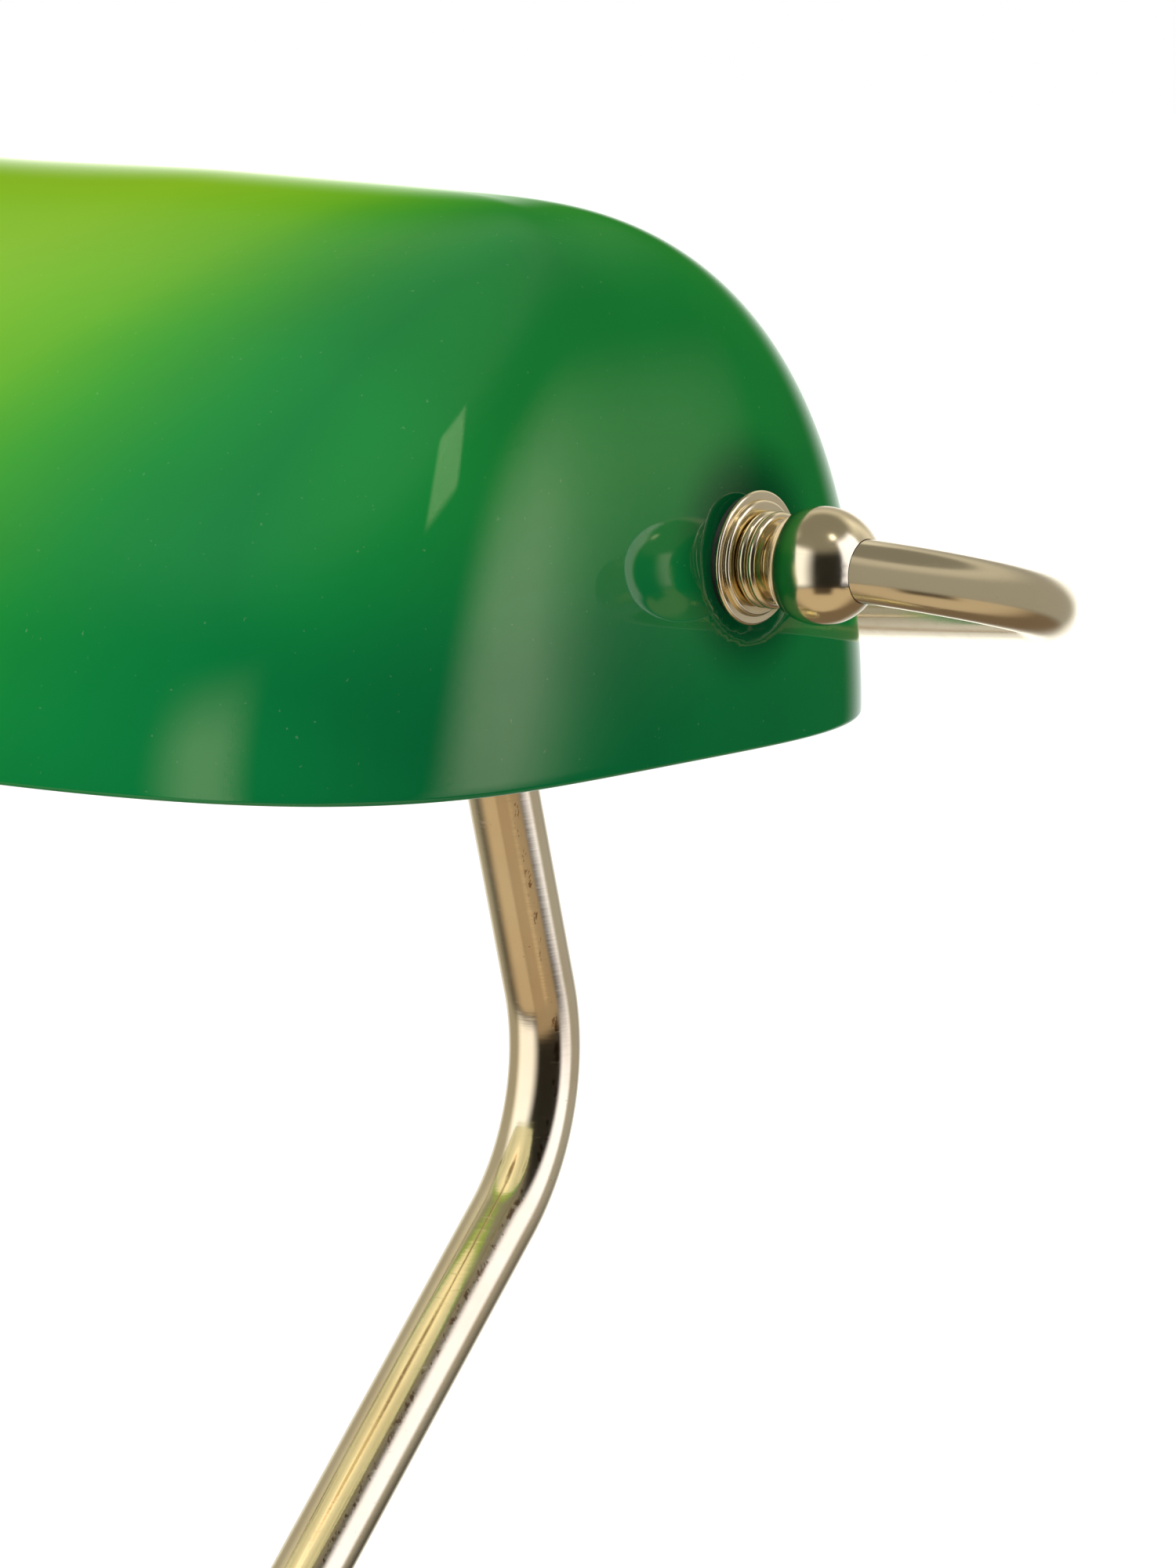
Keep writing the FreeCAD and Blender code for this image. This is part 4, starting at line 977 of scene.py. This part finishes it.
def studio():
    """World: white where the camera looks, and an even level for matt surfaces.

    Polished surfaces see a dark room with a tan table below, a grey ceiling and a white backdrop behind.
    The table is in shade behind the lamp, and the lamp's own shadow lies on it in front.
    """
    world = bpy.data.worlds.new("studio")
    world.use_nodes = True
    bpy.context.scene.world = world
    tree = world.node_tree
    background = tree.nodes["Background"]
    toward = tree.nodes.new("ShaderNodeTexCoord").outputs["Generated"]
    split = tree.nodes.new("ShaderNodeSeparateXYZ")
    wire(tree, split.inputs[0], toward)
    level = vector_calc(tree, "NORMALIZE", vector_calc(tree, "MULTIPLY", toward, (1, 1, 0)))
    facing = vector_calc(tree, "DOT_PRODUCT", level, TOWARD_VIEWER, output=1)
    elevation = calc(tree, "DEGREES", calc(tree, "ARCSINE", split.outputs[2]))
    sky = blend(tree, fade(tree, elevation, *CEILING_EDGE), ROOM_DARK, CEILING)
    table = blend(tree, fade(tree, facing, *TABLE_LIT_FACING), TABLE_SHADE, TABLE_TAN)
    own_shadow = calc(tree, "MULTIPLY", fade(tree, facing, *OWN_SHADOW_FACING),
                      fade(tree, elevation, *OWN_SHADOW_ELEVATION))
    table = blend(tree, own_shadow, table, OWN_SHADOW)
    colour = blend(tree, fade(tree, elevation, *TABLE_EDGE), table, sky)
    low_down = calc(tree, "MULTIPLY", fade(tree, elevation, *BACKDROP_TOP),
                    fade(tree, elevation, *BACKDROP_FOOT))
    behind = calc(tree, "MULTIPLY", fade(tree, facing, *BACKDROP_FACING), low_down)
    colour = blend(tree, behind, colour, BACKDROP)
    path = tree.nodes.new("ShaderNodeLightPath").outputs
    reflected = calc(tree, "MAXIMUM", path["Is Glossy Ray"], path["Is Transmission Ray"])
    colour = blend(tree, reflected, EVEN_LEVEL, colour)
    colour = blend(tree, path["Is Camera Ray"], colour, WHITE)
    wire(tree, background.inputs["Color"], colour)


LAMP_AIM = Vector((0, 0, 0.2))


def area_lamp(name, azimuth, elevation, distance, size, power):
    """Soft lamp aimed at the shade, placed by degrees from the front."""
    light = bpy.data.lights.new(name, "AREA")
    light.shape = "RECTANGLE"
    light.size, light.size_y = size
    light.energy = power
    lamp = bpy.data.objects.new(name, light)
    bpy.context.scene.collection.objects.link(lamp)
    toward = Vector(bearings(np.array(azimuth), np.array(elevation)))
    lamp.location = LAMP_AIM + toward * distance
    lamp.rotation_euler = (-toward).to_track_quat("-Z", "Y").to_euler()
    lamp.visible_glossy = False


# The camera's lens is in millimetres, its aim and distance in metres and its elevation in degrees.
CAMERA_LENS = 166.104
CAMERA_AIM = Vector((0.0980, -0.0154, 0.2868))
CAMERA_DISTANCE = 0.850
CAMERA_ELEVATION = 11.22


def camera():
    """Long lens, a little above the shade, from the lamp's right-hand front."""
    data = bpy.data.cameras.new("camera")
    data.sensor_width = 36
    data.lens = CAMERA_LENS
    data.clip_start, data.clip_end = 0.05, 20
    eye = bpy.data.objects.new("camera", data)
    bpy.context.scene.collection.objects.link(eye)
    toward = Vector(bearings(np.array(0.0), np.array(CAMERA_ELEVATION)))
    eye.location = CAMERA_AIM + toward * CAMERA_DISTANCE
    eye.rotation_euler = (-toward).to_track_quat("-Z", "Y").to_euler()
    bpy.context.scene.camera = eye


def lit_groups():
    """Collections of the pieces that each set of panels lights, by name."""
    groups = {name: bpy.data.collections.new(name + " pieces")
              for name in ("glass", "metal", "stem", "yoke", "stem and metal")}
    group_of = {CASED_GREEN: "glass", FROSTED: "glass", STEM_BRASS: "stem", SATIN_BRASS: "yoke"}
    for piece in [thing for thing in bpy.data.objects if thing.type == "MESH" and "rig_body" in thing]:
        found = [group_of[material] for material in piece.data.materials if material in group_of]
        name = (found + ["metal"])[0]
        groups[name].objects.link(piece)
        if name in ("stem", "metal"):
            groups["stem and metal"].objects.link(piece)
    return groups


floor()
studio()
groups = lit_groups()
distance = PANEL_DISTANCE
for panels, lit in ((SHARED_PANELS, "stem and metal"), (METAL_PANELS, "metal"), (STEM_PANELS, "stem"),
                    (YOKE_PANELS, "yoke"), (GLASS_PANELS, "glass")):
    for name, panel in panels.items():
        studio_panel(name.replace(" ", "_"), groups[lit], distance, *panel)
        distance += PANEL_STEP
# Azimuth and elevation in degrees, distance and size in metres, and power in watts.
area_lamp("key lamp", -42, 42, 1.6, (0.9, 0.9), 17)
area_lamp("right lamp", 70, 45, 1.6, (0.7, 1.0), 1.5)
camera()

bpy.context.scene.view_settings.view_transform = "Standard"
